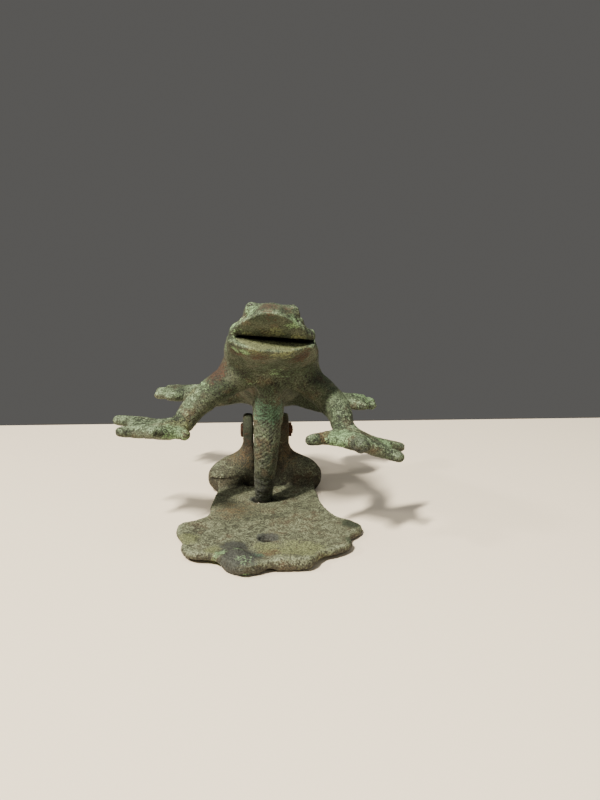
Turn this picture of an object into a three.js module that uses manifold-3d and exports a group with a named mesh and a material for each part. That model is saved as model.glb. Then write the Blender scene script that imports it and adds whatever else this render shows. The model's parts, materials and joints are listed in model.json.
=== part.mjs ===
// A cast bronze frog door knocker. The frog hangs on a steel pin between two lugs of its back
// plate, and a horn under its chest swings down through a hole in the plate to knock on the door.
//
// Millimetres. The plate's back lies in the plane Z = 0 and the frog stands off it towards +Z.
// X runs across the plate, and the frog's head points along -Y. The origin is on the centre line of
// the plate's back, about halfway between the front fixing hole and the striker hole.
// In the frog's own frame the hinge pin's axis passes through zero, Y is behind it and Z above it.

import * as THREE from "three";
import { mergeVertices } from "three/addons/utils/BufferGeometryUtils.js";
import Module from "manifold-3d";

const wasm = await Module();
wasm.setup();

// ---------------------------------------------------------------- driving dimensions

const GAP = 0.3; // between neighbouring regions of a casting, and between seated pieces

// Back plate
const PLATE_WIDTH = 86.4; // across the widest pair of side lobes
const PLATE_FRONT = 56; // origin to the tip of the front lobe
const PLATE_REAR = 84; // origin to the end of the rear tab
const PLATE_THICK = 3.8;
const WAIST_WIDTH = 57;
const EDGE_CURL = 2.2; // how far the front lobes curl off the door
const FIXING_HOLE_R = 4.15;
const FIXING_FRONT = 24; // origin to the front fixing hole
const FIXING_REAR_MARGIN = 8.5; // rear fixing hole to the end of the rear tab

// Hinge
const PIN_AXIS_Y = 63.5;
const PIN_AXIS_Z = 31;
const PIN_R = 2.4;
const PIN_CLEARANCE = 0.45; // radial, because the frog hangs loosely on its pin
const PIN_SEAT_CLEARANCE = 0.1; // radial, in the lugs and the washer
const PIN_HEAD_R = 4.2;
const PIN_HEAD_THICK = 1.6;
const LUG_R = 9.4; // round end of each lug, about the pin
const LUG_THICK = 5.2;
const TANG_WIDTH = 13.2;
const TANG_R = 7.4;
const TANG_SIDE_CLEARANCE = 0.9; // each side, between tang and lug

// Hinge foot: the raised ridge that wraps the rear of the plate and carries the lugs
const FOOT_SPAN = 60.6; // over the end lobes
const FOOT_SHIFT = -0.7; // the ridge was cast a little off the middle
const FOOT_HEIGHT = 11.6; // above the plate
const FOOT_HALF_DEPTH = 6.4;
const FOOT_SETBACK = 3.2; // middle of the ridge behind the pin
const FOOT_SWEEP = 15.6; // how far the end lobes lie in front of the middle

// Frog
const LEAN_DEG = 3.5; // sideways lean that the loose pin allows
const HEAD_TURN = 0.08; // sideways shift of the head for each millimetre ahead of the neck
const BODY_WIDTH = 46; // across the throat and the belly
const NECK = 58; // pin to the joint between torso and head
const EYE_R = 4.6;
const EYE_SPACING = 17;
const MOUTH_CORNER = 72; // pin to the line of the mouth's corners
const MOUTH_CORNER_RISE = 58.4; // that line's height above the pin
const UPPER_LIP_DEG = 36;
const LOWER_LIP_DEG = 16;
const MOUTH_SLIT = 1.3; // height of the slit behind the gape
const MOUTH_SLIT_DEPTH = 6;

// Striker horn
const STRIKER_SWING_R = 47; // from the pin's axis to the horn's centre line
const STRIKER_ROOT_R = 7.2;
const STRIKER_TIP_R = 4.3;
const STRIKER_TIP_LIFT = 0.6; // tip above the plane of the door at rest
const STRIKER_HOLE_CLEARANCE = 1.1; // radial, in the plate

// ---------------------------------------------------------------- derived places

const LEAN = THREE.MathUtils.degToRad(LEAN_DEG);
const LUG_INNER = TANG_WIDTH / 2 + TANG_SIDE_CLEARANCE;
const LUG_OUTER = LUG_INNER + LUG_THICK;
const FIXING_REAR = PLATE_REAR - FIXING_REAR_MARGIN;
const STRIKER_TIP_Z = STRIKER_TIP_LIFT + STRIKER_TIP_R - PIN_AXIS_Z; // tip's centre, below the pin
const STRIKER_TIP_Y = -Math.sqrt(STRIKER_SWING_R ** 2 - STRIKER_TIP_Z ** 2);
const STRIKER_HOLE_Y = PIN_AXIS_Y + STRIKER_TIP_Y;
const STRIKER_HOLE_X = Math.sin(LEAN) * STRIKER_TIP_Z;
const STRIKER_HOLE_R = STRIKER_TIP_R + STRIKER_HOLE_CLEARANCE;

const ALONG_X = new THREE.Vector3(1, 0, 0);
const ALONG_Z = new THREE.Vector3(0, 0, 1);
const FAR = 400; // longer than the whole object

// ---------------------------------------------------------------- solids

/** A manifold solid of a closed three.js geometry, with its faces pointing out. */
function solid(geometry) {
  const bare = new THREE.BufferGeometry();
  bare.setAttribute("position", geometry.getAttribute("position"));
  bare.setIndex(geometry.getIndex());
  const merged = mergeVertices(bare, 1e-4);
  const corners = [...merged.getIndex().array];
  const faces = [];
  for (let i = 0; i < corners.length; i += 3) {
    const [a, b, c] = corners.slice(i, i + 3);
    if (a !== b && b !== c && c !== a) faces.push(a, b, c);
  }
  const vertProperties = new Float32Array(merged.getAttribute("position").array);
  const build = (indices) =>
    new wasm.Manifold(
      new wasm.Mesh({ numProp: 3, vertProperties, triVerts: new Uint32Array(indices) }),
    );
  const made = build(faces);
  return made.volume() > 0 ? made : build(faces.reverse());
}

/** The three.js geometry of a manifold solid. */
function geometryOf(made) {
  const mesh = made.getMesh();
  const positions = new Float32Array(mesh.numVert * 3);
  for (let i = 0; i < mesh.numVert; i++)
    for (let k = 0; k < 3; k++)
      positions[3 * i + k] = mesh.vertProperties[i * mesh.numProp + k];
  const geometry = new THREE.BufferGeometry();
  geometry.setAttribute("position", new THREE.BufferAttribute(positions, 3));
  geometry.setIndex(new THREE.BufferAttribute(new Uint32Array(mesh.triVerts), 1));
  geometry.computeVertexNormals();
  return geometry;
}

/** A box between two corners. */
function boxBetween(low, high) {
  const box = new THREE.BoxGeometry(...low.map((value, k) => high[k] - value));
  box.translate(...low.map((value, k) => (high[k] + value) / 2));
  return solid(box);
}

/** A cylinder centred at a point, with its axis along a direction. */
function cylinder(radius, length, centre, axis, sides = 28) {
  const made = new THREE.CylinderGeometry(radius, radius, length, sides);
  made.applyQuaternion(
    new THREE.Quaternion().setFromUnitVectors(new THREE.Vector3(0, 1, 0), axis),
  );
  made.translate(...centre);
  return solid(made);
}

/** A body turned about an axis parallel to X, from a closed profile of [radius, X]. */
function turned(profile, centreY, centreZ) {
  const lathe = new THREE.LatheGeometry(
    profile.map(([r, x]) => new THREE.Vector2(r, x)),
    28,
  );
  lathe.rotateZ(-Math.PI / 2);
  lathe.translate(0, centreY, centreZ);
  return solid(lathe);
}

/** A plate with bevelled edges: a profile in Y and Z, given a thickness along X from `fromX`. */
function cheek(profile, fromX, thickness, bevel) {
  const made = new THREE.ExtrudeGeometry(profile, {
    depth: thickness - 2 * bevel,
    bevelEnabled: true,
    bevelThickness: bevel,
    bevelSize: bevel,
    bevelOffset: -bevel,
    bevelSegments: 2,
    curveSegments: 12,
  });
  made.applyMatrix4(
    new THREE.Matrix4().makeBasis(new THREE.Vector3(0, 1, 0), ALONG_Z, ALONG_X),
  );
  made.translate(fromX + bevel, 0, 0);
  return solid(made);
}

/** A closed loft through rings of equal length, closed by a point at either end. */
function loft(start, rings, end) {
  const sides = rings[0].length;
  const points = [start, ...rings.flat(), end];
  const last = points.length - 1;
  const faces = [];
  for (let i = 0; i < sides; i++) {
    const j = (i + 1) % sides;
    faces.push(0, 1 + j, 1 + i);
    faces.push(last, last - sides + i, last - sides + j);
    for (let r = 0; r < rings.length - 1; r++) {
      const a = 1 + r * sides;
      const b = a + sides;
      faces.push(a + i, a + j, b + j, a + i, b + j, b + i);
    }
  }
  const geometry = new THREE.BufferGeometry().setFromPoints(points);
  geometry.setIndex(faces);
  return solid(geometry);
}

/** A smooth curve through triples of numbers. */
function smooth(triples, kind = "catmullrom") {
  const points = triples.map((triple) => new THREE.Vector3(...triple));
  return new THREE.CatmullRomCurve3(points, false, kind, 0.5);
}

/**
 * A limb: a round-ended tube along a smooth curve through stations [x, y, z, radius].
 * `flat` is its thickness along `up` as a share of its width, and `grow` thickens it all over.
 */
function limb(stations, { sides = 12, steps = 7, flat = 1, up = [0, 0, 1], grow = 0 } = {}) {
  const path = smooth(stations.map((station) => station.slice(0, 3)), "centripetal");
  const girths = smooth(stations.map((station) => [station[3], 0, 0]));
  const upward = new THREE.Vector3(...up).normalize();
  const girth = (t) => girths.getPoint(t).x + grow;
  const beyond = (t, out) =>
    path.getPoint(t).addScaledVector(path.getTangent(t), out * girth(t));
  const ring = (t, out, share) => {
    const along = path.getTangent(t);
    const across = new THREE.Vector3().crossVectors(along, upward).normalize();
    const over = new THREE.Vector3().crossVectors(across, along);
    const wide = girth(t) * share;
    const thick = (girth(t) * flat + grow * (1 - flat)) * share;
    return Array.from({ length: sides }, (_, i) => {
      const a = (2 * Math.PI * i) / sides;
      return beyond(t, out)
        .addScaledVector(across, wide * Math.cos(a))
        .addScaledVector(over, thick * Math.sin(a));
    });
  };
  const shoulder = Math.SQRT1_2;
  const rings = [ring(0, -shoulder, shoulder)];
  for (let k = 0; k <= steps; k++) rings.push(ring(k / steps, 0, 1));
  rings.push(ring(1, shoulder, shoulder));
  return loft(beyond(0, -1), rings, beyond(1, 1));
}

const union = (parts) => parts.reduce((whole, part) => whole.add(part));

/** A piece cut back by its neighbour, without the slivers that the cut leaves beyond it. */
function cutBack(piece, neighbour) {
  const parts = piece.subtract(neighbour).decompose();
  return parts.reduce((most, part) => (part.volume() > most.volume() ? part : most));
}

// ---------------------------------------------------------------- back plate

/** The wavy front rim as [share of the half width, share of the front length], anticlockwise. */
const LOBES = [
  [-0.68, 0.06],
  [-0.84, -0.04],
  [-0.95, -0.075],
  [-0.97, -0.17],
  [-0.945, -0.285],
  [-0.845, -0.48],
  [-0.855, -0.6],
  [-0.735, -0.735],
  [-0.52, -0.775],
  [-0.4, -0.87],
  [-0.325, -0.955],
  [-0.23, -1.0],
  [-0.13, -0.97],
  [0.08, -0.915],
  [0.38, -0.915],
  [0.47, -0.86],
  [0.52, -0.77],
  [0.7, -0.71],
  [0.855, -0.59],
  [0.85, -0.45],
  [0.98, -0.335],
  [1.03, -0.235],
  [0.96, -0.12],
  [0.8, -0.02],
];

/** The plate's closed outline: lobes in front, a waist, a heel under the hinge and a rear tab. */
function plateOutline() {
  const waist = WAIST_WIDTH / 2;
  const tab = FIXING_HOLE_R + 5.5;
  const flank = (side) => [
    [side * waist, STRIKER_HOLE_Y - 6],
    [side * (waist - 1.8), PIN_AXIS_Y - 20],
    [side * (waist - 6), PIN_AXIS_Y - 4],
    [side * (tab + 3), PIN_AXIS_Y + 7],
    [side * tab, PLATE_REAR - 6],
  ];
  const points = [
    ...LOBES.map(([x, y]) => [(x * PLATE_WIDTH) / 2, y * PLATE_FRONT]),
    ...flank(1),
    [0, PLATE_REAR],
    ...flank(-1).reverse(),
  ].map(([x, y]) => new THREE.Vector3(x, y, 0));
  const count = 84;
  const rim = new THREE.CatmullRomCurve3(points, true, "centripetal");
  return rim.getSpacedPoints(count).slice(0, count);
}

/** The plate: a sheet with a round edge whose front lobes curl up, with its three holes. */
function backPlate() {
  const outline = plateOutline();
  const centre = new THREE.Vector3(0, 0, 0);
  const flatShare = 0.72; // of the way to the rim, the plate's back is flat
  const ring = (share, height) =>
    outline.map((rim) => {
      const point = centre.clone().lerp(rim, share);
      const forward = THREE.MathUtils.smoothstep(-point.y, 0, PLATE_FRONT);
      point.z = height + EDGE_CURL * forward * THREE.MathUtils.smoothstep(share, flatShare, 1);
      return point;
    });
  const rings = [
    ring(flatShare, 0),
    ring(0.86, 0),
    ring(0.975, 0),
    ring(1, PLATE_THICK * 0.3),
    ring(1, PLATE_THICK * 0.7),
    ring(0.975, PLATE_THICK),
    ring(0.86, PLATE_THICK),
    ring(flatShare, PLATE_THICK),
  ];
  const sheet = loft(centre, rings, centre.clone().setZ(PLATE_THICK));
  const hole = (x, y, radius) => cylinder(radius, 6 * PLATE_THICK, [x, y, 0], ALONG_Z, 32);
  return sheet
    .subtract(hole(0, -FIXING_FRONT, FIXING_HOLE_R))
    .subtract(hole(0, FIXING_REAR, FIXING_HOLE_R))
    .subtract(hole(STRIKER_HOLE_X, STRIKER_HOLE_Y, STRIKER_HOLE_R));
}

// ---------------------------------------------------------------- hinge

/** The ridge across the plate's heel, grown all over on request, whose ends are round lobes. */
function hingeFoot(grow = 0) {
  const r = FOOT_HALF_DEPTH;
  const half = FOOT_SPAN / 2 - r;
  const z = PLATE_THICK + FOOT_HEIGHT * 0.4; // the ridge is widest below its mid height
  const y = (sweep) => PIN_AXIS_Y + FOOT_SETBACK - sweep * FOOT_SWEEP;
  const ridge = limb(
    [
      [-half, y(1), z, r],
      [-half * 0.55, y(0.3), z, r * 1.02],
      [0, y(0), z, r * 1.05],
      [half * 0.55, y(0.3), z, r * 1.02],
      [half, y(1), z, r],
    ].map(([x, ...rest]) => [x + FOOT_SHIFT, ...rest]),
    { sides: 16, steps: 12, flat: (FOOT_HEIGHT * 0.6) / r, grow },
  );
  return ridge.subtract(boxBetween([-FAR, -FAR, -FAR], [FAR, FAR, PLATE_THICK + GAP - grow]));
}

/** One lug: a cheek with a round head about the pin, its shoulders spreading to the ridge. */
function lug(side) {
  const foot = PLATE_THICK + GAP - PIN_AXIS_Z;
  const spread = 1.6;
  const profile = new THREE.Shape();
  profile.moveTo(-LUG_R - spread, foot);
  profile.lineTo(LUG_R + spread, foot);
  profile.lineTo(LUG_R, -2);
  profile.absarc(0, 0, LUG_R, 0, Math.PI, false);
  profile.lineTo(-LUG_R, -2);
  profile.closePath();
  const blank = cheek(profile, side > 0 ? LUG_INNER : -LUG_OUTER, LUG_THICK, 1.3);
  return blank
    .translate([0, PIN_AXIS_Y, PIN_AXIS_Z])
    .subtract(cylinder(PIN_R + PIN_SEAT_CLEARANCE, FAR, [0, PIN_AXIS_Y, PIN_AXIS_Z], ALONG_X))
    .subtract(hingeFoot(GAP));
}

/** The steel pin: a shank with a turned head on the left and a low peened dome on the right. */
function hingePin() {
  const head = -LUG_OUTER - GAP;
  const tail = LUG_OUTER + 2 * GAP + PIN_HEAD_THICK;
  const profile = [
    [0, head - PIN_HEAD_THICK],
    [PIN_HEAD_R * 0.84, head - PIN_HEAD_THICK],
    [PIN_HEAD_R, head - PIN_HEAD_THICK * 0.65],
    [PIN_HEAD_R, head],
    [PIN_R, head],
    [PIN_R, tail],
    [PIN_R * 1.2, tail],
    [PIN_R * 0.8, tail + 0.6],
    [0, tail + 0.7],
  ];
  return turned(profile, PIN_AXIS_Y, PIN_AXIS_Z);
}

/** The flat washer that the pin's peened end holds against the right lug. */
function pinWasher() {
  const face = LUG_OUTER + GAP;
  const bore = PIN_R + PIN_SEAT_CLEARANCE;
  const profile = [
    [bore, face],
    [PIN_HEAD_R, face],
    [PIN_HEAD_R, face + PIN_HEAD_THICK],
    [bore, face + PIN_HEAD_THICK],
    [bore, face],
  ];
  return turned(profile, PIN_AXIS_Y, PIN_AXIS_Z);
}

// ---------------------------------------------------------------- frog's body

/**
 * Sections of the body from rump to snout: distance ahead of the pin, height of the underside and
 * of the back above the pin, share of the body width, and how much the section narrows to its top.
 */
const BODY_SECTIONS = [
  [-16, 17.5, 29, 0.27, 0.1],
  [-9, 13.4, 36, 0.5, 0.15],
  [0, 12.4, 41.5, 0.66, 0.2],
  [12, 17.2, 48, 0.79, 0.25],
  [28, 25.2, 56, 0.95, 0.3],
  [44, 33.6, 64, 1, 0.32],
  [56, 39.8, 69.4, 0.99, 0.36],
  [66, 45.2, 73, 0.94, 0.46],
  [74, 49.2, 73.8, 0.84, 0.5],
  [80.5, 52.4, 72.2, 0.65, 0.46],
  [84.6, 54.8, 70.2, 0.44, 0.34],
];
const RUMP = { ahead: -19, rise: 23 };
const SNOUT = { ahead: 86.6, rise: 63.6 };

/** Sideways shift of the body's centre line: the head turns a little to one side. */
const turnAt = (ahead) => -HEAD_TURN * Math.max(0, ahead - NECK);

/** The whole body, torso and head in one, in the frog's frame. */
function bodySolid(grow = 0) {
  const sides = 26;
  const steps = 2 * (BODY_SECTIONS.length - 1);
  const heights = smooth(BODY_SECTIONS.map(([ahead, under, back]) => [ahead, under, back]));
  const widths = smooth(BODY_SECTIONS.map(([ahead, , , wide, taper]) => [ahead, wide, taper]));
  const squareness = 0.88; // below 1 makes the section squarer than an ellipse
  const bend = (v) => Math.sign(v) * Math.abs(v) ** squareness;
  const rings = [];
  for (let k = 0; k <= steps; k++) {
    const { x: ahead, y: under, z: back } = heights.getPoint(k / steps);
    const { y: wide, z: taper } = widths.getPoint(k / steps);
    const tall = (back - under) / 2 + grow;
    const half = (wide * BODY_WIDTH) / 2 + grow;
    const ring = Array.from({ length: sides }, (_, i) => {
      const a = (2 * Math.PI * (i + 0.5)) / sides;
      const rise = bend(Math.sin(a));
      const narrow = 1 - taper * THREE.MathUtils.smoothstep(rise, -0.6, 1.15);
      const x = half * bend(Math.cos(a)) * narrow + turnAt(ahead);
      return new THREE.Vector3(x, -ahead, (under + back) / 2 + rise * tall);
    });
    rings.push(ring);
  }
  return loft(
    new THREE.Vector3(0, -RUMP.ahead + grow, RUMP.rise),
    rings,
    new THREE.Vector3(turnAt(SNOUT.ahead), -SNOUT.ahead - grow, SNOUT.rise),
  );
}

/** The part of space between two distances ahead of the pin and two heights above it. */
function slab(near, far, low, high) {
  return boxBetween([-FAR, -far, low], [FAR, -near, high]);
}

/** The gape: a wedge that opens forwards from the corners of the mouth, with a slit behind it. */
function gape() {
  const reach = 30;
  const rise = (degrees) => reach * Math.tan(THREE.MathUtils.degToRad(degrees));
  const wedge = new THREE.Shape();
  wedge.moveTo(0, -MOUTH_SLIT / 2);
  wedge.lineTo(0, MOUTH_SLIT / 2);
  wedge.lineTo(-reach, rise(UPPER_LIP_DEG));
  wedge.lineTo(-reach, -rise(LOWER_LIP_DEG));
  wedge.closePath();
  const mouth = cheek(wedge, -FAR / 2, FAR, 0).translate([0, -MOUTH_CORNER, MOUTH_CORNER_RISE]);
  const half = MOUTH_SLIT / 2;
  const slit = slab(
    MOUTH_CORNER - MOUTH_SLIT_DEPTH,
    MOUTH_CORNER + 0.5,
    MOUTH_CORNER_RISE - half,
    MOUTH_CORNER_RISE + half,
  );
  return mouth.add(slit);
}

/** An eyeball on one side of the head, grown all over on request. */
function eyeBall(side, grow = 0) {
  const ahead = MOUTH_CORNER - 1;
  const ball = new THREE.SphereGeometry(EYE_R + grow, 14, 10);
  ball.rotateX(Math.PI / 2);
  ball.translate((side * EYE_SPACING) / 2 + turnAt(ahead), -ahead, MOUTH_CORNER_RISE + 11.2);
  return solid(ball);
}

/** Torso, skull, lower jaw and eyes, cut from one body with a gap where they meet. */
function bodyPieces() {
  const body = bodySolid();
  const half = GAP / 2;
  const head = body.intersect(slab(NECK, FAR, -FAR, FAR)).subtract(gape());
  return {
    torso: body.intersect(slab(-FAR, NECK - GAP, -FAR, FAR)),
    skull: head
      .intersect(slab(-FAR, FAR, MOUTH_CORNER_RISE + half, FAR))
      .subtract(eyeBall(-1, GAP))
      .subtract(eyeBall(1, GAP)),
    lower_jaw: head.intersect(slab(-FAR, FAR, -FAR, MOUTH_CORNER_RISE - half)),
    left_eye: eyeBall(-1),
    right_eye: eyeBall(1),
  };
}

// ---------------------------------------------------------------- frog's limbs

/** Stations of each arm, in the frog's frame. The two arms are posed apart, as they are cast. */
const ARMS = {
  left: {
    upper: [[-12, -46.5, 40, 7.6], [-22, -47, 33.4, 7.3], [-31, -48, 26.2, 6.6]],
    fore: [[-31.6, -48.2, 25.6, 6.6], [-36, -50.5, 20.8, 6.1], [-39.8, -54, 15.2, 5.4]],
    palm: [[-40.8, -55, 13.4, 5.2], [-46, -58, 12.2, 5.6], [-51, -59.5, 11.8, 5]],
    digits: [
      [[-43, -57.5, 12.6, 3.4], [-39.8, -64.5, 12.2, 3], [-37.4, -70, 12.4, 2.7]],
      [[-48, -57, 12.4, 3.4], [-60, -53, 13.4, 2.9], [-71.4, -50.4, 13.4, 2.5]],
      [[-48, -59.5, 12, 3.4], [-58, -64, 12, 3], [-66, -68, 12.2, 2.6]],
      [[-47, -60, 12.2, 3.4], [-49.4, -68, 13.2, 3], [-51.4, -75, 14.2, 2.6]],
    ],
  },
  right: {
    upper: [[12, -46.5, 40, 7.6], [22, -49.5, 34.4, 7.4], [30, -54.5, 28.6, 6.6]],
    fore: [[30.4, -55.3, 27.8, 6.5], [33.2, -61, 24, 6], [34, -66.5, 20.4, 5.6]],
    palm: [[34.4, -68.5, 18.8, 5.4], [36.6, -73.5, 16.6, 5.8], [40.6, -75.5, 14.8, 5.2]],
    digits: [
      [[33, -73, 16.8, 3.3], [24.4, -78.5, 16.2, 2.9], [18.4, -82.5, 16, 2.6]],
      [[37.6, -76.5, 16, 3.9], [38.6, -86, 16.6, 3.6], [39, -92.6, 17, 3.5]],
      [[41, -76.5, 14.4, 3.5], [50, -82, 12.6, 3], [57, -86.4, 11.4, 2.6]],
      [[40.6, -74, 14.8, 3.4], [52, -68, 11.8, 3], [62.6, -62.8, 9.6, 2.6]],
    ],
  },
};

/** Stations of the right leg in the frog's frame. The left leg is its mirror image. */
const LEG = {
  thigh: [[9, 1, 25, 8], [24, -5, 21.4, 7.6], [40, -8, 17.6, 6.2]],
  shank: [[40.8, -7, 17.2, 5.8], [38, 4, 17, 5.4], [32, 15, 16.8, 4.6]],
  sole: [[31.8, 17, 16.6, 4.6], [39, 20, 16, 4.6], [46, 21.5, 15.4, 4.8]],
  digits: [
    [[43, 19, 15.2, 3.2], [51, 15.5, 14.2, 2.7], [57.4, 12.5, 13.8, 2.4]],
    [[44, 20.5, 15.2, 3.4], [54.5, 19.5, 14.2, 2.9], [64, 18.6, 13.6, 2.6]],
    [[45, 22.5, 15.4, 3.4], [55.5, 25, 14.8, 3], [64.4, 27, 14.2, 2.6]],
    [[44, 24, 15.6, 3.2], [53, 28.6, 15.6, 2.7], [60, 32.4, 15.2, 2.4]],
  ],
};

/** Stations turned over to the other side of the frog. */
const mirrored = (stations) => stations.map(([x, ...rest]) => [-x, ...rest]);

/** A hand or foot: a flat pad with tapering digits joined to it. */
function digited(pad, digits, up) {
  const palm = limb(pad, { steps: 5, flat: 0.74, up });
  const rays = digits.map((ray) => limb(ray, { sides: 8, steps: 4, flat: 0.86, up }));
  return union([palm, ...rays]);
}

/** The arms and legs, each region cut back from the one that carries it. */
function limbPieces() {
  const pieces = {};
  const around = bodySolid(GAP);
  for (const [side, lie] of [["left", -1], ["right", 1]]) {
    const arm = ARMS[side];
    const reach = (stations) => (lie < 0 ? mirrored(stations) : stations);
    const thigh = reach(LEG.thigh);
    const shank = reach(LEG.shank);
    const hand = digited(arm.palm, arm.digits, [0.12 * lie, -0.5, 1]);
    const foot = digited(reach(LEG.sole), LEG.digits.map(reach), [0, -0.45, 1]);
    const grow = GAP;
    pieces[`${side}_upper_arm`] = cutBack(limb(arm.upper), around);
    pieces[`${side}_forearm`] = cutBack(limb(arm.fore), limb(arm.upper, { grow }));
    pieces[`${side}_hand`] = cutBack(hand, limb(arm.fore, { grow }));
    pieces[`${side}_thigh`] = cutBack(limb(thigh), around);
    pieces[`${side}_shank`] = cutBack(limb(shank), limb(thigh, { grow }));
    pieces[`${side}_hind_foot`] = cutBack(foot, limb(shank, { grow }));
  }
  return pieces;
}

// ---------------------------------------------------------------- frog's metalwork

/** Angle above the horizontal, about the pin, at which the horn's centre line meets the belly. */
function hornRootAngle() {
  const [rear, low] = BODY_SECTIONS[2];
  const [ahead, high] = BODY_SECTIONS[5];
  const slope = (high - low) / (ahead - rear);
  const reach = STRIKER_SWING_R * Math.hypot(1, slope);
  return Math.atan(slope) + Math.asin((low - slope * rear) / reach);
}

/** The striker horn: a tapering horn along an arc about the pin, from the belly to the door. */
function strikerHorn() {
  const from = Math.atan2(STRIKER_TIP_Z, -STRIKER_TIP_Y);
  const to = hornRootAngle() + 3 / STRIKER_SWING_R;
  const count = 8;
  const stations = Array.from({ length: count }, (_, i) => {
    const t = i / (count - 1);
    const angle = from + (to - from) * t;
    const swell = (STRIKER_ROOT_R - STRIKER_TIP_R) * Math.min(1, t * 1.15) ** 0.8;
    return [
      0,
      -STRIKER_SWING_R * Math.cos(angle),
      STRIKER_SWING_R * Math.sin(angle),
      STRIKER_TIP_R + swell,
    ];
  });
  return cutBack(limb(stations, { sides: 16, steps: 14, up: [0, -1, 0.25] }), bodySolid(GAP));
}

/** The tang that hangs from the pelvis onto the pin, with its loose bore. */
function hingeTang() {
  const [, under, back] = BODY_SECTIONS[2];
  const reach = (under + back) / 2;
  const profile = new THREE.Shape();
  profile.absarc(0, 0, TANG_R, Math.PI, 2 * Math.PI, false);
  profile.lineTo(TANG_R, reach);
  profile.lineTo(-TANG_R, reach);
  profile.closePath();
  // The pin stays square to the plate while the frog leans, so the bore follows the true axis.
  const axis = new THREE.Vector3(Math.cos(LEAN), 0, Math.sin(LEAN));
  const bore = cylinder(PIN_R + PIN_CLEARANCE, FAR, [0, 0, 0], axis);
  return cutBack(cheek(profile, -TANG_WIDTH / 2, TANG_WIDTH, 1).subtract(bore), bodySolid(GAP));
}

// ---------------------------------------------------------------- finishes and scene graph

const finish = (color, roughness, metalness) =>
  new THREE.MeshStandardMaterial({ color, roughness, metalness });
const verdigris = finish(0x7d8a6c, 0.82, 0.25);
const plateBronze = finish(0x7b7d63, 0.8, 0.3);
const brownBronze = finish(0x6c6048, 0.78, 0.35);
const hornBronze = finish(0x5f6a5e, 0.8, 0.35);
const rustedSteel = finish(0x4a2f1e, 0.85, 0.4);

/** Adds solids to a group as named meshes of one finish. */
function place(group, pieces, material) {
  for (const [name, made] of Object.entries(pieces)) {
    const mesh = new THREE.Mesh(geometryOf(made), material);
    mesh.name = name;
    group.add(mesh);
  }
}

const knocker = new THREE.Group();
place(knocker, { back_plate: backPlate() }, plateBronze);
place(knocker, { hinge_foot: hingeFoot(), left_lug: lug(-1), right_lug: lug(1) }, brownBronze);
place(knocker, { hinge_pin: hingePin(), pin_washer: pinWasher() }, rustedSteel);

const frog = new THREE.Group();
frog.position.set(0, PIN_AXIS_Y, PIN_AXIS_Z);
frog.rotation.y = LEAN;
place(frog, { ...bodyPieces(), ...limbPieces() }, verdigris);
place(frog, { striker_horn: strikerHorn() }, hornBronze);
place(frog, { hinge_tang: hingeTang() }, brownBronze);
knocker.add(frog);

export default knocker;
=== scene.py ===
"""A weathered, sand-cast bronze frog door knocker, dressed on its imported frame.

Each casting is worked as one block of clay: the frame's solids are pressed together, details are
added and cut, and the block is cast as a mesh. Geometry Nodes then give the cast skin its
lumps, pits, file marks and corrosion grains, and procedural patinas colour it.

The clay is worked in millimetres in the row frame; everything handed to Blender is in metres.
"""

import json
import logging
import math
from collections.abc import Callable, Iterable, Sequence
from dataclasses import dataclass, field
from enum import Enum

import bpy
import numpy as np
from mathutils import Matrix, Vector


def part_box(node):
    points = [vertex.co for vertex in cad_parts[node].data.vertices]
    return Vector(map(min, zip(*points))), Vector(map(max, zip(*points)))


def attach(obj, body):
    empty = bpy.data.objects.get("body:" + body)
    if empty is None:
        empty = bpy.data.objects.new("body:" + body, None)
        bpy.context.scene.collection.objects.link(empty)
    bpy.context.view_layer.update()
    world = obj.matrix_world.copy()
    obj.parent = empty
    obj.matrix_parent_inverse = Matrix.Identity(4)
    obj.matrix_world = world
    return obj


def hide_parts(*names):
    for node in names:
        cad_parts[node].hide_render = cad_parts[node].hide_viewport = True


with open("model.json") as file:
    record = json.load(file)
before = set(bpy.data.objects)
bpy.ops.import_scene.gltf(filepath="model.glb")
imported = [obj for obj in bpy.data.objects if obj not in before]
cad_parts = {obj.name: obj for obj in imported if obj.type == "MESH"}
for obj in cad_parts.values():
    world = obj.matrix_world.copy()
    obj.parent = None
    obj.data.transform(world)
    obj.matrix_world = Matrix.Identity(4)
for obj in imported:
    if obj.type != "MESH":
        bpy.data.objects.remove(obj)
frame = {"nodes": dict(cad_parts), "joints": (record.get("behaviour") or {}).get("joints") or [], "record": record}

import openvdb as vdb
from mathutils import Vector

log = logging.getLogger("knocker")
MM = 0.001  # metres in a millimetre


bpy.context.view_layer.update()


class Body(Enum):
    """The two bodies that the hinge joins."""

    PLATE = "backplate"
    FROG = "frog"


class Slot(Enum):
    """The record's material slots."""

    FROG = "frog_patina"
    PLATE = "plate_patina"
    STEEL = "rusted_steel"


class Mark(Enum):
    """Named point attributes, from 0 to 1, that the skin and the patina both read."""

    RELIEF = "relief"  # below 0.5 in hollows, above it on edges
    WEATHER = "weather"  # 0 on the sheltered side towards the door, 1 on the side that faces out
    CALM = "calm"  # where the cast skin's lumps and grain don't show, and specks are fainter
    PITTED = "pitted"
    FILED = "filed"
    # rust also paints shadow: a rust patch darkens the back plate's left lug where the frog's body shades it
    RUST = "rust"
    LIME = "lime"
    # mint also paints a highlight: pale patches along the frog's lit -X flank, over pale crust
    MINT = "mint"
    TEAL = "teal"
    # moss also paints shadow: a moss patch darkens the back plate's left lug where the frog's body shades it
    MOSS = "moss"
    # soot also paints shade: inside the fixing and striker holes, beside the eye on the head's +X side, and on the
    # horn's lower part
    SOOT = "soot"
    TAN = "tan"


# ------------------------------------------------------------------ the frog's own frame


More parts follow.
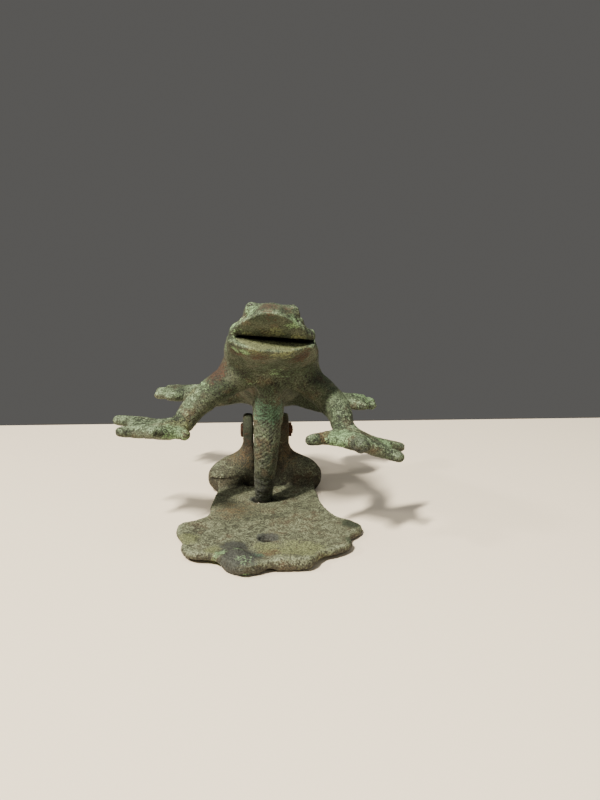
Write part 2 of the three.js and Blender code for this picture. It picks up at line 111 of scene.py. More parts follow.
@dataclass(frozen=True)
class FrogPose:
    """The frog's frame at rest: the hinge pin's axis, and the sideways lean of a loose pin."""

    pin: tuple[float, float, float]
    lean: float = math.radians(3.5)

    def place(self, x: float, ahead: float, rise: float) -> np.ndarray:
        """Turns a place in the frog's frame into the row frame.

        Args:
            x: Millimetres along the pin from the frog's middle, towards +X.
            ahead: Millimetres ahead of the pin, towards the frog's snout.
            rise: Millimetres above the pin.

        Returns:
            The place in the row frame, in millimetres.
        """
        cos, sin = math.cos(self.lean), math.sin(self.lean)
        return np.array([
            self.pin[0] + x * cos + rise * sin,
            self.pin[1] - ahead,
            self.pin[2] - x * sin + rise * cos,
        ])


def box_mm(*nodes: str) -> tuple[np.ndarray, np.ndarray]:
    """The lowest and highest corner of the box round some of the frame's solids, in millimetres."""
    boxes = [np.array(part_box(node)) / MM for node in nodes]
    return np.min([box[0] for box in boxes], axis=0), np.max([box[1] for box in boxes], axis=0)


def as_is(x: float, y: float, z: float) -> np.ndarray:
    """A place that is already in the row frame."""
    return np.array([x, y, z])


# ------------------------------------------------------------------ clay


Placer = Callable[[float, float, float], np.ndarray]  # turns a place into the row frame
Window = tuple[slice, slice, slice]


def smoothstep(value: np.ndarray) -> np.ndarray:
    """Eases 0 to 1, and clips what lies outside."""
    clipped = np.clip(value, 0.0, 1.0)
    return clipped * clipped * (3.0 - 2.0 * clipped)


def smooth_min(a: np.ndarray, b: np.ndarray, blend: float) -> np.ndarray:
    """The lower of two distances, eased over a width.

    Args:
        a: Distances in millimetres.
        b: Distances in millimetres.
        blend: Width over which the two run together; 0 gives a sharp edge.

    Returns:
        The joined distances.
    """
    if blend <= 0.0:
        return np.minimum(a, b)
    share = np.clip(0.5 + 0.5 * (b - a) / blend, 0.0, 1.0)
    return b + (a - b) * share - blend * share * (1.0 - share)


class Clay:
    """A block of signed distances, in millimetres: below zero inside the clay, above it outside."""

    BAND = 6.0  # distances are kept up to this far from the surface

    def __init__(self, low: Sequence[float], high: Sequence[float], pitch: float) -> None:
        """Makes an empty block.

        Args:
            low: Lowest corner that the clay may reach.
            high: Highest corner that the clay may reach.
            pitch: Spacing of the distances.
        """
        self.pitch = pitch
        margin = 4 * pitch
        self.low = np.floor((np.asarray(low) - margin) / pitch) * pitch
        count = np.ceil((np.asarray(high) + margin - self.low) / pitch).astype(int) + 1
        self.field = np.full(tuple(count), self.BAND, np.float32)

    def window(self, low: Sequence[float], high: Sequence[float], margin: float) -> Window:
        """The part of the block between two corners, with a margin round it."""
        first = np.floor((np.asarray(low) - margin - self.low) / self.pitch).astype(int)
        last = np.ceil((np.asarray(high) + margin - self.low) / self.pitch).astype(int) + 1
        first = np.clip(first, 0, self.field.shape)
        last = np.clip(last, 0, self.field.shape)
        return tuple(slice(int(a), int(b)) for a, b in zip(first, last))

    def places(self, window: Window) -> tuple[np.ndarray, np.ndarray, np.ndarray]:
        """X, Y and Z of a window's points, ready to broadcast."""
        axes = [
            (np.arange(part.start, part.stop) * self.pitch + self.low[k]).astype(np.float32)
            for k, part in enumerate(window)
        ]
        return axes[0][:, None, None], axes[1][None, :, None], axes[2][None, None, :]

    def join(self, window: Window, distance: np.ndarray, blend: float) -> None:
        """Adds a shape to the clay inside a window."""
        self.field[window] = smooth_min(self.field[window], distance, blend)

    def cut(self, window: Window, distance: np.ndarray, blend: float) -> None:
        """Cuts a shape out of the clay inside a window."""
        self.field[window] = -smooth_min(-self.field[window], distance, blend)

    def press(self, node: str, blend: float, fuse: float = 0.0, swell: float = 0.0) -> None:
        """Presses one of the frame's solids into the clay.

        Args:
            node: The solid's name.
            blend: Width of the fillet that it makes with what is already there.
            fuse: Gaps of the solid up to twice this wide are filled, such as between fingers.
            swell: How much fatter than the frame's solid it is pressed.
        """
        mesh = frame["nodes"][node].data
        points = read_vectors(mesh, "co") / MM
        mesh.calc_loop_triangles()
        faces = np.empty(len(mesh.loop_triangles) * 3, np.int32)
        mesh.loop_triangles.foreach_get("vertices", faces)
        points, merged = np.unique(np.round(points, 4), axis=0, return_inverse=True)
        faces = merged.reshape(-1)[faces].reshape(-1, 3).astype(np.uint32)
        reach = self.BAND + fuse
        low, high = points.min(0), points.max(0)
        window = self.window(low, high, self.BAND)
        start = np.array([part.start for part in window])
        local = (points - self.low) / self.pitch - start
        half = reach / self.pitch
        grid = vdb.FloatGrid.createLevelSetFromPolygons(
            local.astype(np.float32), triangles=faces, halfWidth=half)
        if fuse > 0.0:
            swollen = grid.convertToPolygons(isovalue=fuse / self.pitch)
            grid = vdb.FloatGrid.createLevelSetFromPolygons(
                swollen[0], quads=swollen[2], halfWidth=half)
        values = np.empty(self.field[window].shape, np.float32)
        grid.copyToArray(values)
        values = np.clip(values * self.pitch + fuse - swell, -self.BAND, self.BAND)
        self.join(window, values, blend)

    def round_off(self, passes: int) -> None:
        """Rounds every edge a little: each pass averages each distance with its neighbours."""
        for _ in range(passes):
            for axis in range(3):
                moved = np.moveaxis(self.field, axis, 0)
                moved[1:-1] = 0.25 * moved[:-2] + 0.5 * moved[1:-1] + 0.25 * moved[2:]

    def sample(self, values: np.ndarray, points: np.ndarray) -> np.ndarray:
        """Reads a block of values at points in the row frame, by linear interpolation.

        Args:
            values: A block of the clay's own shape.
            points: Points in millimetres, one a row.

        Returns:
            One value for each point.
        """
        local = (points - self.low) / self.pitch
        base = np.clip(np.floor(local).astype(int), 0, np.array(values.shape) - 2)
        part = np.clip(local - base, 0.0, 1.0)
        total = np.zeros(len(points))
        for corner in np.ndindex(2, 2, 2):
            weight = np.prod(np.where(corner, part, 1.0 - part), axis=1)
            at = base + corner
            total += weight * values[at[:, 0], at[:, 1], at[:, 2]]
        return total

    def skin_point(self, inside: np.ndarray, direction: np.ndarray) -> np.ndarray:
        """The first point of the clay's surface on the way out of it.

        Args:
            inside: A point inside the clay.
            direction: The way to go.

        Returns:
            The surface point, in millimetres.
        """
        way = direction / np.linalg.norm(direction)
        steps = np.arange(0.0, 60.0, self.pitch / 2)
        along = inside + steps[:, None] * way
        outside = np.nonzero(self.sample(self.field, along) > 0.0)[0]
        return along[outside[0]] if len(outside) else inside

    def relief(self, points: np.ndarray) -> np.ndarray:
        """How far surface points stand out of their surroundings, from 0 in hollows to 1."""
        kept = self.field.copy()
        self.round_off(7)
        softened = self.sample(self.field, points)
        self.field = kept
        return np.clip(0.5 + softened / 0.9, 0.0, 1.0)

    def cast(self, name: str) -> bpy.types.Object:
        """Makes a mesh object of the clay's surface.

        Args:
            name: The new object's name.

        Returns:
            The object, in metres, with a relief mark on its points.
        """
        grid = vdb.FloatGrid(self.BAND)
        grid.copyFromArray(self.field)
        points, _, quads = grid.convertToPolygons(isovalue=0.0)
        places = points.astype(float) * self.pitch + self.low
        mesh = bpy.data.meshes.new(name)
        mesh.vertices.add(len(places))
        mesh.vertices.foreach_set("co", (places * MM).astype(np.float32).ravel())
        mesh.loops.add(quads.size)
        mesh.loops.foreach_set("vertex_index", quads.astype(np.int32).ravel())
        mesh.polygons.add(len(quads))
        mesh.polygons.foreach_set("loop_start", np.arange(0, quads.size, 4, dtype=np.int32))
        mesh.update(calc_edges=True)
        mesh.validate()
        write_mark(mesh, Mark.RELIEF, self.relief(places))
        thing = bpy.data.objects.new(name, mesh)
        bpy.context.scene.collection.objects.link(thing)
        log.info("%s cast: %d quads", name, len(quads))
        return thing


def read_vectors(mesh: bpy.types.Mesh, name: str) -> np.ndarray:
    """Reads one of the vectors that each of a mesh's points has, one a row."""
    values = np.empty(len(mesh.vertices) * 3, np.float32)
    mesh.vertices.foreach_get(name, values)
    return values.reshape(-1, 3)


def write_mark(mesh: bpy.types.Mesh, mark: Mark, values: np.ndarray) -> None:
    """Writes a mark onto a mesh's points."""
    layer = mesh.attributes.get(mark.value) or mesh.attributes.new(mark.value, "FLOAT", "POINT")
    layer.data.foreach_set("value", values.astype(np.float32))


@dataclass(frozen=True)
class Stroke:
    """A run of clay, or a groove, along a chain of stations (x, y, z, radius)."""

    stations: tuple[tuple[float, float, float, float], ...]
    blend: float = 1.0
    groove: bool = False

    def work(self, clay: Clay, place: Placer) -> None:
        """Adds the run to the clay, or cuts it.

        Args:
            clay: The block to work.
            place: Turns a station's place into the row frame.
        """
        centres = [place(*station[:3]) for station in self.stations]
        radii = [station[3] for station in self.stations]
        if len(centres) == 1:
            centres, radii = centres * 2, radii * 2
        for a, b, ra, rb in zip(centres, centres[1:], radii, radii[1:]):
            window = clay.window(np.minimum(a, b), np.maximum(a, b), max(ra, rb) + self.blend + 1)
            x, y, z = clay.places(window)
            step = b - a
            length = max(float(step @ step), 1e-9)
            share = np.clip(
                ((x - a[0]) * step[0] + (y - a[1]) * step[1] + (z - a[2]) * step[2]) / length,
                0.0, 1.0)
            gap = np.sqrt(
                (x - a[0] - share * step[0]) ** 2
                + (y - a[1] - share * step[1]) ** 2
                + (z - a[2] - share * step[2]) ** 2)
            distance = gap - (ra + (rb - ra) * share)
            (clay.cut if self.groove else clay.join)(window, distance, self.blend)


PAINTED = [mark for mark in Mark if mark not in (Mark.RELIEF, Mark.WEATHER)]


@dataclass(frozen=True)
class Patch:
    """A soft-edged patch of a mark, round a place."""

    mark: Mark
    place: tuple[float, float, float]
    radius: float
    strength: float = 1.0


def lay_patches(thing: bpy.types.Object, patches: Iterable[Patch], place: Placer) -> None:
    """Writes the marks that patches make onto a mesh's points.

    Args:
        thing: The mesh object.
        patches: What to lay on it.
        place: Turns a patch's place into the row frame, in millimetres.
    """
    mesh = thing.data
    points = read_vectors(mesh, "co") / MM
    write_mark(mesh, Mark.WEATHER, 0.5 + 0.5 * read_vectors(mesh, "normal")[:, 2])
    layers = {mark: np.zeros(len(points)) for mark in PAINTED}
    for patch in patches:
        gap = np.linalg.norm(points - place(*patch.place), axis=1)
        shade = patch.strength * np.exp(-((gap / patch.radius) ** 2))
        layers[patch.mark] = np.maximum(layers[patch.mark], shade)
    for mark, values in layers.items():
        write_mark(mesh, mark, values)


# ------------------------------------------------------------------ node helpers


def add_node(
    tree: bpy.types.NodeTree,
    kind: str,
    inputs: dict[str | int, object] | None = None,
    **settings: object,
) -> bpy.types.Node:
    """Adds a node to a tree.

    Args:
        tree: The shader or geometry tree.
        kind: The node's type.
        inputs: Values for its input sockets, or the output sockets that feed them.
        settings: The node's own properties.

    Returns:
        The new node.
    """
    made = tree.nodes.new(kind)
    for name, value in settings.items():
        setattr(made, name, value)
    for key, value in (inputs or {}).items():
        if isinstance(value, bpy.types.NodeSocket):
            tree.links.new(value, made.inputs[key])
        else:
            made.inputs[key].default_value = value
    return made


def linear(hex_colour: str) -> tuple[float, float, float, float]:
    """Turns an sRGB hex colour into linear red, green, blue and alpha."""
    channels = [int(hex_colour[i:i + 2], 16) / 255 for i in (1, 3, 5)]
    bent = [c / 12.92 if c <= 0.04045 else ((c + 0.055) / 1.055) ** 2.4 for c in channels]
    return (*bent, 1.0)


# ------------------------------------------------------------------ the cast skin


@dataclass(frozen=True)
class CastSkin:
    """A sand casting's surface: sizes in millimetres, most of them inputs of its node tree."""

    lump_size: float = 8.0
    lump_depth: float = 0.5
    grain_size: float = 2.2
    grain_depth: float = 0.42
    pit_size: float = 1.9
    pit_depth: float = 0.55
    ridge_spacing: float = 1.5
    ridge_depth: float = 0.13
    ridge_angle: float = math.radians(40)
    granule_size: float = 0.42
    granules: float = 0.045  # for each square millimetre
    seed: int = 7

    def tree(self, name: str) -> bpy.types.NodeTree:
        """Builds the tree: displaces the skin, scatters granules and sets the material.

        Args:
            name: The tree's name.

        Returns:
            The tree, whose inputs carry the names of this class's fields, but for the angle.
        """
        tree = bpy.data.node_groups.new(name, "GeometryNodeTree")
        face = tree.interface
        face.new_socket("Geometry", in_out="INPUT", socket_type="NodeSocketGeometry")
        for size in self.sizes():
            face.new_socket(size, in_out="INPUT", socket_type="NodeSocketFloat")
        face.new_socket("seed", in_out="INPUT", socket_type="NodeSocketInt")
        face.new_socket("material", in_out="INPUT", socket_type="NodeSocketMaterial")
        face.new_socket("Geometry", in_out="OUTPUT", socket_type="NodeSocketGeometry")
        entry = add_node(tree, "NodeGroupInput").outputs
        offset, pits, ridges = self.relief(tree, entry)
        moved = add_node(tree, "GeometryNodeSetPosition",
                         {"Geometry": entry["Geometry"], "Offset": offset})
        pitted = self.keep(tree, moved.outputs[0], "pit", pits)
        skin = self.keep(tree, pitted, "ridge", ridges)
        smooth = add_node(tree, "GeometryNodeSetShadeSmooth", {"Geometry": skin})
        joined = add_node(tree, "GeometryNodeJoinGeometry")
        tree.links.new(smooth.outputs[0], joined.inputs[0])
        tree.links.new(self.scatter(tree, entry, smooth.outputs[0]), joined.inputs[0])
        real = add_node(tree, "GeometryNodeRealizeInstances", {"Geometry": joined.outputs[0]})
        dressed = add_node(tree, "GeometryNodeSetMaterial",
                           {"Geometry": real.outputs[0], "Material": entry["material"]})
        add_node(tree, "NodeGroupOutput", {"Geometry": dressed.outputs[0]})
        return tree

    @staticmethod
    def sizes() -> list[str]:
        """Names of the tree's float inputs."""
        apart = ("seed", "ridge_angle")
        return [name for name in CastSkin.__dataclass_fields__ if name not in apart]

    @staticmethod
    def mark(tree: bpy.types.NodeTree, mark: Mark) -> bpy.types.NodeSocket:
        """Reads a mark from the geometry."""
        return add_node(tree, "GeometryNodeInputNamedAttribute",
                        {"Name": mark.value}, data_type="FLOAT").outputs[0]

    @staticmethod
    def keep(tree: bpy.types.NodeTree, geometry: bpy.types.NodeSocket, name: str,
             value: bpy.types.NodeSocket | float) -> bpy.types.NodeSocket:
        """Stores a value on a geometry's points, and gives the geometry on."""
        return add_node(tree, "GeometryNodeStoreNamedAttribute",
                        {"Geometry": geometry, "Name": name, "Value": value},
                        data_type="FLOAT", domain="POINT").outputs[0]

    def relief(self, tree: bpy.types.NodeTree, entry: object) -> tuple[bpy.types.NodeSocket, ...]:
        """Works out how far each point moves along its normal.

        Args:
            tree: The tree being built.
            entry: The tree's input sockets.

        Returns:
            The offset vector, the pits' share and the file ridges' share.
        """
        place = add_node(tree, "GeometryNodeInputPosition").outputs[0]

        def math_node(operation: str, *values: object) -> bpy.types.NodeSocket:
            """One arithmetic step."""
            return add_node(tree, "ShaderNodeMath", dict(enumerate(values)),
                            operation=operation).outputs[0]

        def frequency(size: str) -> bpy.types.NodeSocket:
            """Pattern scale for a size that is an input in metres."""
            return math_node("DIVIDE", 1.0, entry[size])

        def centred_noise(size: str, detail: float, vector: bpy.types.NodeSocket
                          ) -> bpy.types.NodeSocket:
            """Noise from about -1 to 1."""
            noise = add_node(tree, "ShaderNodeTexNoise",
                             {"Vector": vector, "Scale": frequency(size), "Detail": detail,
                              "Roughness": 0.6})
            return math_node("MULTIPLY_ADD", noise.outputs["Fac"], 2.0, -1.0)

        lively = math_node("SUBTRACT", 1.0, self.mark(tree, Mark.CALM))
        lumps = math_node("MULTIPLY", centred_noise("lump_size", 2.0, place), entry["lump_depth"])
        grain = math_node("MULTIPLY", centred_noise("grain_size", 3.0, place), entry["grain_depth"])
        cells = add_node(tree, "ShaderNodeTexVoronoi",
                         {"Vector": place, "Scale": frequency("pit_size")}, feature="F1")
        cover = add_node(tree, "ShaderNodeTexNoise",
                         {"Vector": place, "Scale": frequency("lump_size"), "Detail": 1.0})
        limit = math_node("MULTIPLY", self.mark(tree, Mark.PITTED), 0.5)
        chosen = add_node(tree, "ShaderNodeMapRange",
                          {"Value": math_node("ADD", cover.outputs["Fac"], limit),
                           "From Min": 0.62, "From Max": 0.78}, interpolation_type="SMOOTHSTEP")
        dents = add_node(tree, "ShaderNodeMapRange",
                         {"Value": cells.outputs["Distance"], "From Min": 0.15, "From Max": 0.5,
                          "To Min": 1.0, "To Max": 0.0}, interpolation_type="SMOOTHSTEP")
        pits = math_node("MULTIPLY", dents.outputs[0], chosen.outputs[0])
        across = add_node(tree, "ShaderNodeVectorMath",
                          {0: place, 1: (math.sin(self.ridge_angle), 0.25,
                                         -math.cos(self.ridge_angle))},
                          operation="DOT_PRODUCT").outputs["Value"]
        wander = math_node("MULTIPLY", centred_noise("lump_size", 1.0, place), 0.9)
        turns = math_node("MULTIPLY", math_node("DIVIDE", across, entry["ridge_spacing"]), math.tau)
        wave = math_node("SINE", math_node("ADD", turns, wander))
        ridges = math_node("MULTIPLY", wave, self.mark(tree, Mark.FILED))
        depth = math_node("MULTIPLY", math_node("ADD", lumps, grain), lively)
        depth = math_node("SUBTRACT", depth, math_node("MULTIPLY", pits, entry["pit_depth"]))
        depth = math_node("ADD", depth, math_node("MULTIPLY", ridges, entry["ridge_depth"]))
        normal = add_node(tree, "GeometryNodeInputNormal").outputs[0]
        offset = add_node(tree, "ShaderNodeVectorMath", {0: normal, "Scale": depth},
                          operation="SCALE")
        return offset.outputs[0], pits, ridges

    def scatter(self, tree: bpy.types.NodeTree, entry: object, skin: bpy.types.NodeSocket
                ) -> bpy.types.NodeSocket:
        """Scatters corrosion granules over the skin.

        Args:
            tree: The tree being built.
            entry: The tree's input sockets.
            skin: The surface they grow on.

        Returns:
            The granules, as instances.
        """
        spread = add_node(tree, "GeometryNodeDistributePointsOnFaces",
                          {"Mesh": skin, "Density": entry["granules"], "Seed": entry["seed"]},
                          distribute_method="RANDOM")
        grain = add_node(tree, "GeometryNodeMeshIcoSphere",
                         {"Radius": entry["granule_size"], "Subdivisions": 1})
        smooth = add_node(tree, "GeometryNodeSetShadeSmooth", {"Geometry": grain.outputs[0]})
        size = add_node(tree, "FunctionNodeRandomValue", {2: 0.35, 3: 1.0, "Seed": entry["seed"]},
                        data_type="FLOAT")
        flat = add_node(tree, "ShaderNodeCombineXYZ",
                        {0: size.outputs[1], 1: size.outputs[1],
                         2: add_node(tree, "ShaderNodeMath", {0: size.outputs[1], 1: 0.55},
                                     operation="MULTIPLY").outputs[0]})
        placed = add_node(tree, "GeometryNodeInstanceOnPoints",
                          {"Points": spread.outputs["Points"], "Instance": smooth.outputs[0],
                           "Rotation": spread.outputs["Rotation"], "Scale": flat.outputs[0]})
        return placed.outputs[0]

    def apply(self, thing: bpy.types.Object, material: bpy.types.Material) -> None:
        """Gives a mesh object this skin, as plain mesh.

        Args:
            thing: The object, whose mesh is replaced.
            material: What its surface is made of.
        """
        tree = self.tree(f"{thing.name}_skin")
        modifier = thing.modifiers.new("skin", "NODES")
        modifier.node_group = tree
        values = {name: getattr(self, name) * MM for name in self.sizes()}
        values["granules"] = self.granules / MM**2
        values["seed"] = self.seed
        values["material"] = material
        for item in tree.interface.items_tree:
            if item.in_out == "INPUT" and item.name in values:
                modifier[item.identifier] = values[item.name]
        bake(thing)
        thing.data.materials.clear()
        thing.data.materials.append(material)


def bake(thing: bpy.types.Object) -> None:
    """Turns an object's modifiers into plain mesh."""
    graph = bpy.context.evaluated_depsgraph_get()
    made = bpy.data.meshes.new_from_object(
        thing.evaluated_get(graph), preserve_all_data_layers=True, depsgraph=graph)
    thing.modifiers.clear()
    thing.data = made


def lie_flat(thing: bpy.types.Object) -> None:
    """Lifts the points of an object's mesh that lie below the floor up to it."""
    mesh = thing.data
    points = read_vectors(mesh, "co")
    points[:, 2] = np.maximum(points[:, 2], 0.0)
    mesh.vertices.foreach_set("co", points.ravel())
    mesh.update()


# ------------------------------------------------------------------ finishes


@dataclass(frozen=True)
class BronzePatina:
    """Cast tin bronze after years outdoors: a matt crust of green copper salts over brown oxide.

    The crust is chalky on what faces out and stands out, and dirty in hollows and pits. Tinted
    patches with torn rims lie over it, and fine specks, mottles and file strokes over them all.
    """

    name: str
    under: tuple[str, str] = ("#33402f", "#42483a")  # sheltered oxide, in two blotches
    over: tuple[str, str] = ("#2a3826", "#384632")  # weathered crust, in two blotches
    chalk: str = "#687a60"
    dirt: str = "#12120c"
    brown: str = "#4a3d2d"
    blotch_mm: float = 12.0
    mottle_mm: float = 2.4
    fleck_mm: float = 0.75
    brownness: float = 0.3
    speck_mm: float = 0.7
    file_mm: float = 1.5  # between file strokes
    file_way: tuple[float, float, float] = (0.62, 0.25, -0.74)  # across the strokes
    bump_mm: float = 0.8
    speckled: float = 1.35  # how much lighter the lightest fine specks are than the darkest
    mottled: float = 0.45  # the same for the larger mottles
    tints: tuple[tuple[Mark, str], ...] = (
        # moss: also painted shadow on the left lug
        (Mark.MOSS, "#202a1c"),
        (Mark.TAN, "#4c3f29"),
        (Mark.LIME, "#616848"),
        (Mark.TEAL, "#3a5544"),
        # soot: also painted shade in the holes, beside an eye and on the horn's lower part
        (Mark.SOOT, "#2e3231"),
        # rust: also painted shadow on the left lug
        (Mark.RUST, "#352318"),
        # mint: also a painted highlight along the frog's -X flank
        (Mark.MINT, "#647f5b"),
    )

    def build(self) -> bpy.types.Material:
        """Builds the material.

        Returns:
            The material, on Object coordinates and the casting's own marks.
        """
        material = bpy.data.materials.new(self.name)
        material.use_nodes = True
        tree = material.node_tree
        tree.nodes.clear()
        place = add_node(tree, "ShaderNodeTexCoord").outputs["Object"]

        def noise(size_mm: float, detail: float, roughness: float = 0.55) -> bpy.types.NodeSocket:
            """Noise of a real size."""
            return add_node(tree, "ShaderNodeTexNoise",
                            {"Vector": place, "Scale": 1.0 / (size_mm * MM), "Detail": detail,
                             "Roughness": roughness}).outputs["Fac"]

        def ease(value: bpy.types.NodeSocket, start: float, end: float) -> bpy.types.NodeSocket:
            """0 below start, 1 above end, smooth between them."""
            return add_node(tree, "ShaderNodeMapRange",
                            {"Value": value, "From Min": start, "From Max": end},
                            interpolation_type="SMOOTHSTEP").outputs[0]

        def math_node(operation: str, *values: object) -> bpy.types.NodeSocket:
            """One arithmetic step."""
            return add_node(tree, "ShaderNodeMath", dict(enumerate(values)),
                            operation=operation).outputs[0]

        def mix(share: object, below: object, above: object) -> bpy.types.NodeSocket:
            """Lays one colour over another."""
            return add_node(tree, "ShaderNodeMix", {0: share, 6: below, 7: above},
                            data_type="RGBA").outputs[2]

        def mark(name: str) -> bpy.types.NodeSocket:
            """A named value on the surface."""
            return add_node(tree, "ShaderNodeAttribute", attribute_name=name,
                            attribute_type="GEOMETRY").outputs["Fac"]

        relief = mark(Mark.RELIEF.value)
        blotch = noise(self.blotch_mm, 3.0)
        mottle = noise(self.mottle_mm, 4.0, 0.65)
        fleck = noise(self.fleck_mm, 2.0, 0.6)
        weather = math_node("MULTIPLY_ADD", math_node("SUBTRACT", mottle, 0.5), 0.9,
                            mark(Mark.WEATHER.value))
        patchy = ease(blotch, 0.35, 0.65)
        sheltered = mix(patchy, linear(self.under[0]), linear(self.under[1]))
        exposed = mix(patchy, linear(self.over[0]), linear(self.over[1]))
        colour = mix(ease(weather, 0.45, 0.9), sheltered, exposed)
        oxide = math_node("MULTIPLY", ease(noise(self.blotch_mm * 0.6, 4.0), 0.5, 0.68),
                          self.brownness * 2)
        colour = mix(oxide, colour, linear(self.brown))
        torn = math_node("ADD", math_node("MULTIPLY", mottle, 0.55),
                         math_node("MULTIPLY", fleck, 0.45))
        crust = math_node("ADD", torn, math_node("MULTIPLY_ADD", relief, 0.22, -0.06))
        crust = math_node("MULTIPLY_ADD", mark(Mark.WEATHER.value), 0.24, crust)
        colour = mix(math_node("MULTIPLY", ease(crust, 0.76, 0.9), 0.8),
                     colour, linear(self.chalk))
        for tint, hex_colour in self.tints:
            share = math_node("MULTIPLY_ADD", math_node("SUBTRACT", torn, 0.5), 2.3,
                              mark(tint.value))
            colour = mix(math_node("MULTIPLY", ease(share, 0.45, 0.7), 0.9), colour,
                         linear(hex_colour))
        hollow = math_node("ADD", math_node("SUBTRACT", 1.0, relief),
                           math_node("MULTIPLY", math_node("SUBTRACT", 0.5, fleck), 1.1))
        colour = mix(math_node("MULTIPLY", ease(hollow, 0.5, 0.9), 0.8),
                     colour, linear(self.dirt))
        holes = math_node("MAXIMUM", ease(mark("pit"), 0.25, 0.8),
                          math_node("MULTIPLY", ease(fleck, 0.5, 0.36), 0.75))
        colour = mix(math_node("MULTIPLY", holes, 0.75), colour, linear(self.dirt))
        across = add_node(tree, "ShaderNodeVectorMath",
                          {0: place, 1: self.file_way}, operation="DOT_PRODUCT")
        wander = math_node("MULTIPLY_ADD", blotch, 14.0, math_node("MULTIPLY", mottle, 2.5))
        turns = math_node("MULTIPLY_ADD", across.outputs["Value"],
                          math.tau / (self.file_mm * MM), wander)
        scratch = math_node("MULTIPLY", math_node("SINE", turns), mark(Mark.FILED.value))
        speckle = ease(noise(self.speck_mm, 3.0, 0.75), 0.36, 0.64)
        light = math_node("MULTIPLY_ADD", math_node("SUBTRACT", speckle, 0.5), self.speckled,
                          math_node("MULTIPLY", math_node("SUBTRACT", ease(mottle, 0.36, 0.64), 0.5),
                                    self.mottled))
        light = math_node("MULTIPLY_ADD", math_node("SUBTRACT", ease(blotch, 0.4, 0.6), 0.5),
                          self.mottled, light)
        light = math_node("MULTIPLY_ADD", scratch, 0.3, light)
        lively = math_node("MULTIPLY_ADD", mark(Mark.CALM.value), -0.75, 1.0)
        value = math_node("MULTIPLY_ADD", light, lively, 1.0)
        colour = add_node(tree, "ShaderNodeHueSaturation",
                          {"Color": colour, "Value": value}).outputs[0]
        rough = add_node(tree, "ShaderNodeMapRange",
                         {"Value": torn, "To Min": 0.66, "To Max": 0.95}).outputs[0]
        heights = math_node("ADD", math_node("MULTIPLY", fleck, 0.55),
                            math_node("MULTIPLY", mottle, 0.9))
        heights = math_node("MULTIPLY_ADD", scratch, 0.1, heights)
        bump = add_node(tree, "ShaderNodeBump",
                        {"Height": heights, "Strength": 1.0, "Distance": self.bump_mm * MM})
        shader = add_node(tree, "ShaderNodeBsdfPrincipled",
                          {"Base Color": colour, "Roughness": rough, "Metallic": 0.12,
                           "Normal": bump.outputs[0]})
        add_node(tree, "ShaderNodeOutputMaterial", {"Surface": shader.outputs[0]})
        return material


@dataclass(frozen=True)
class RustedSteel:
    """Mild steel left to rust: dry, flaking brown scale with darker pits."""

    name: str = "rusted_mild_steel"
    scale: str = "#3a2418"
    bloom: str = "#6b3f22"
    pit: str = "#17100b"
    flake_mm: float = 1.6

    def build(self) -> bpy.types.Material:
        """Builds the material."""
        material = bpy.data.materials.new(self.name)
        material.use_nodes = True
        tree = material.node_tree
        tree.nodes.clear()
        place = add_node(tree, "ShaderNodeTexCoord").outputs["Object"]
        flakes = add_node(tree, "ShaderNodeTexNoise",
                          {"Vector": place, "Scale": 1.0 / (self.flake_mm * MM), "Detail": 4.0,
                           "Roughness": 0.65}).outputs["Fac"]
        ramp = add_node(tree, "ShaderNodeValToRGB", {"Fac": flakes})
        stops = ramp.color_ramp.elements
        stops[0].position, stops[0].color = 0.34, linear(self.pit)
        stops[1].position, stops[1].color = 0.66, linear(self.bloom)
        middle = stops.new(0.48)
        middle.color = linear(self.scale)
        bump = add_node(tree, "ShaderNodeBump",
                        {"Height": flakes, "Strength": 0.9, "Distance": 0.4 * MM})
        shader = add_node(tree, "ShaderNodeBsdfPrincipled",
                          {"Base Color": ramp.outputs[0], "Roughness": 0.88, "Metallic": 0.25,
                           "Normal": bump.outputs[0]})
        add_node(tree, "ShaderNodeOutputMaterial", {"Surface": shader.outputs[0]})
        return material


# ------------------------------------------------------------------ the castings


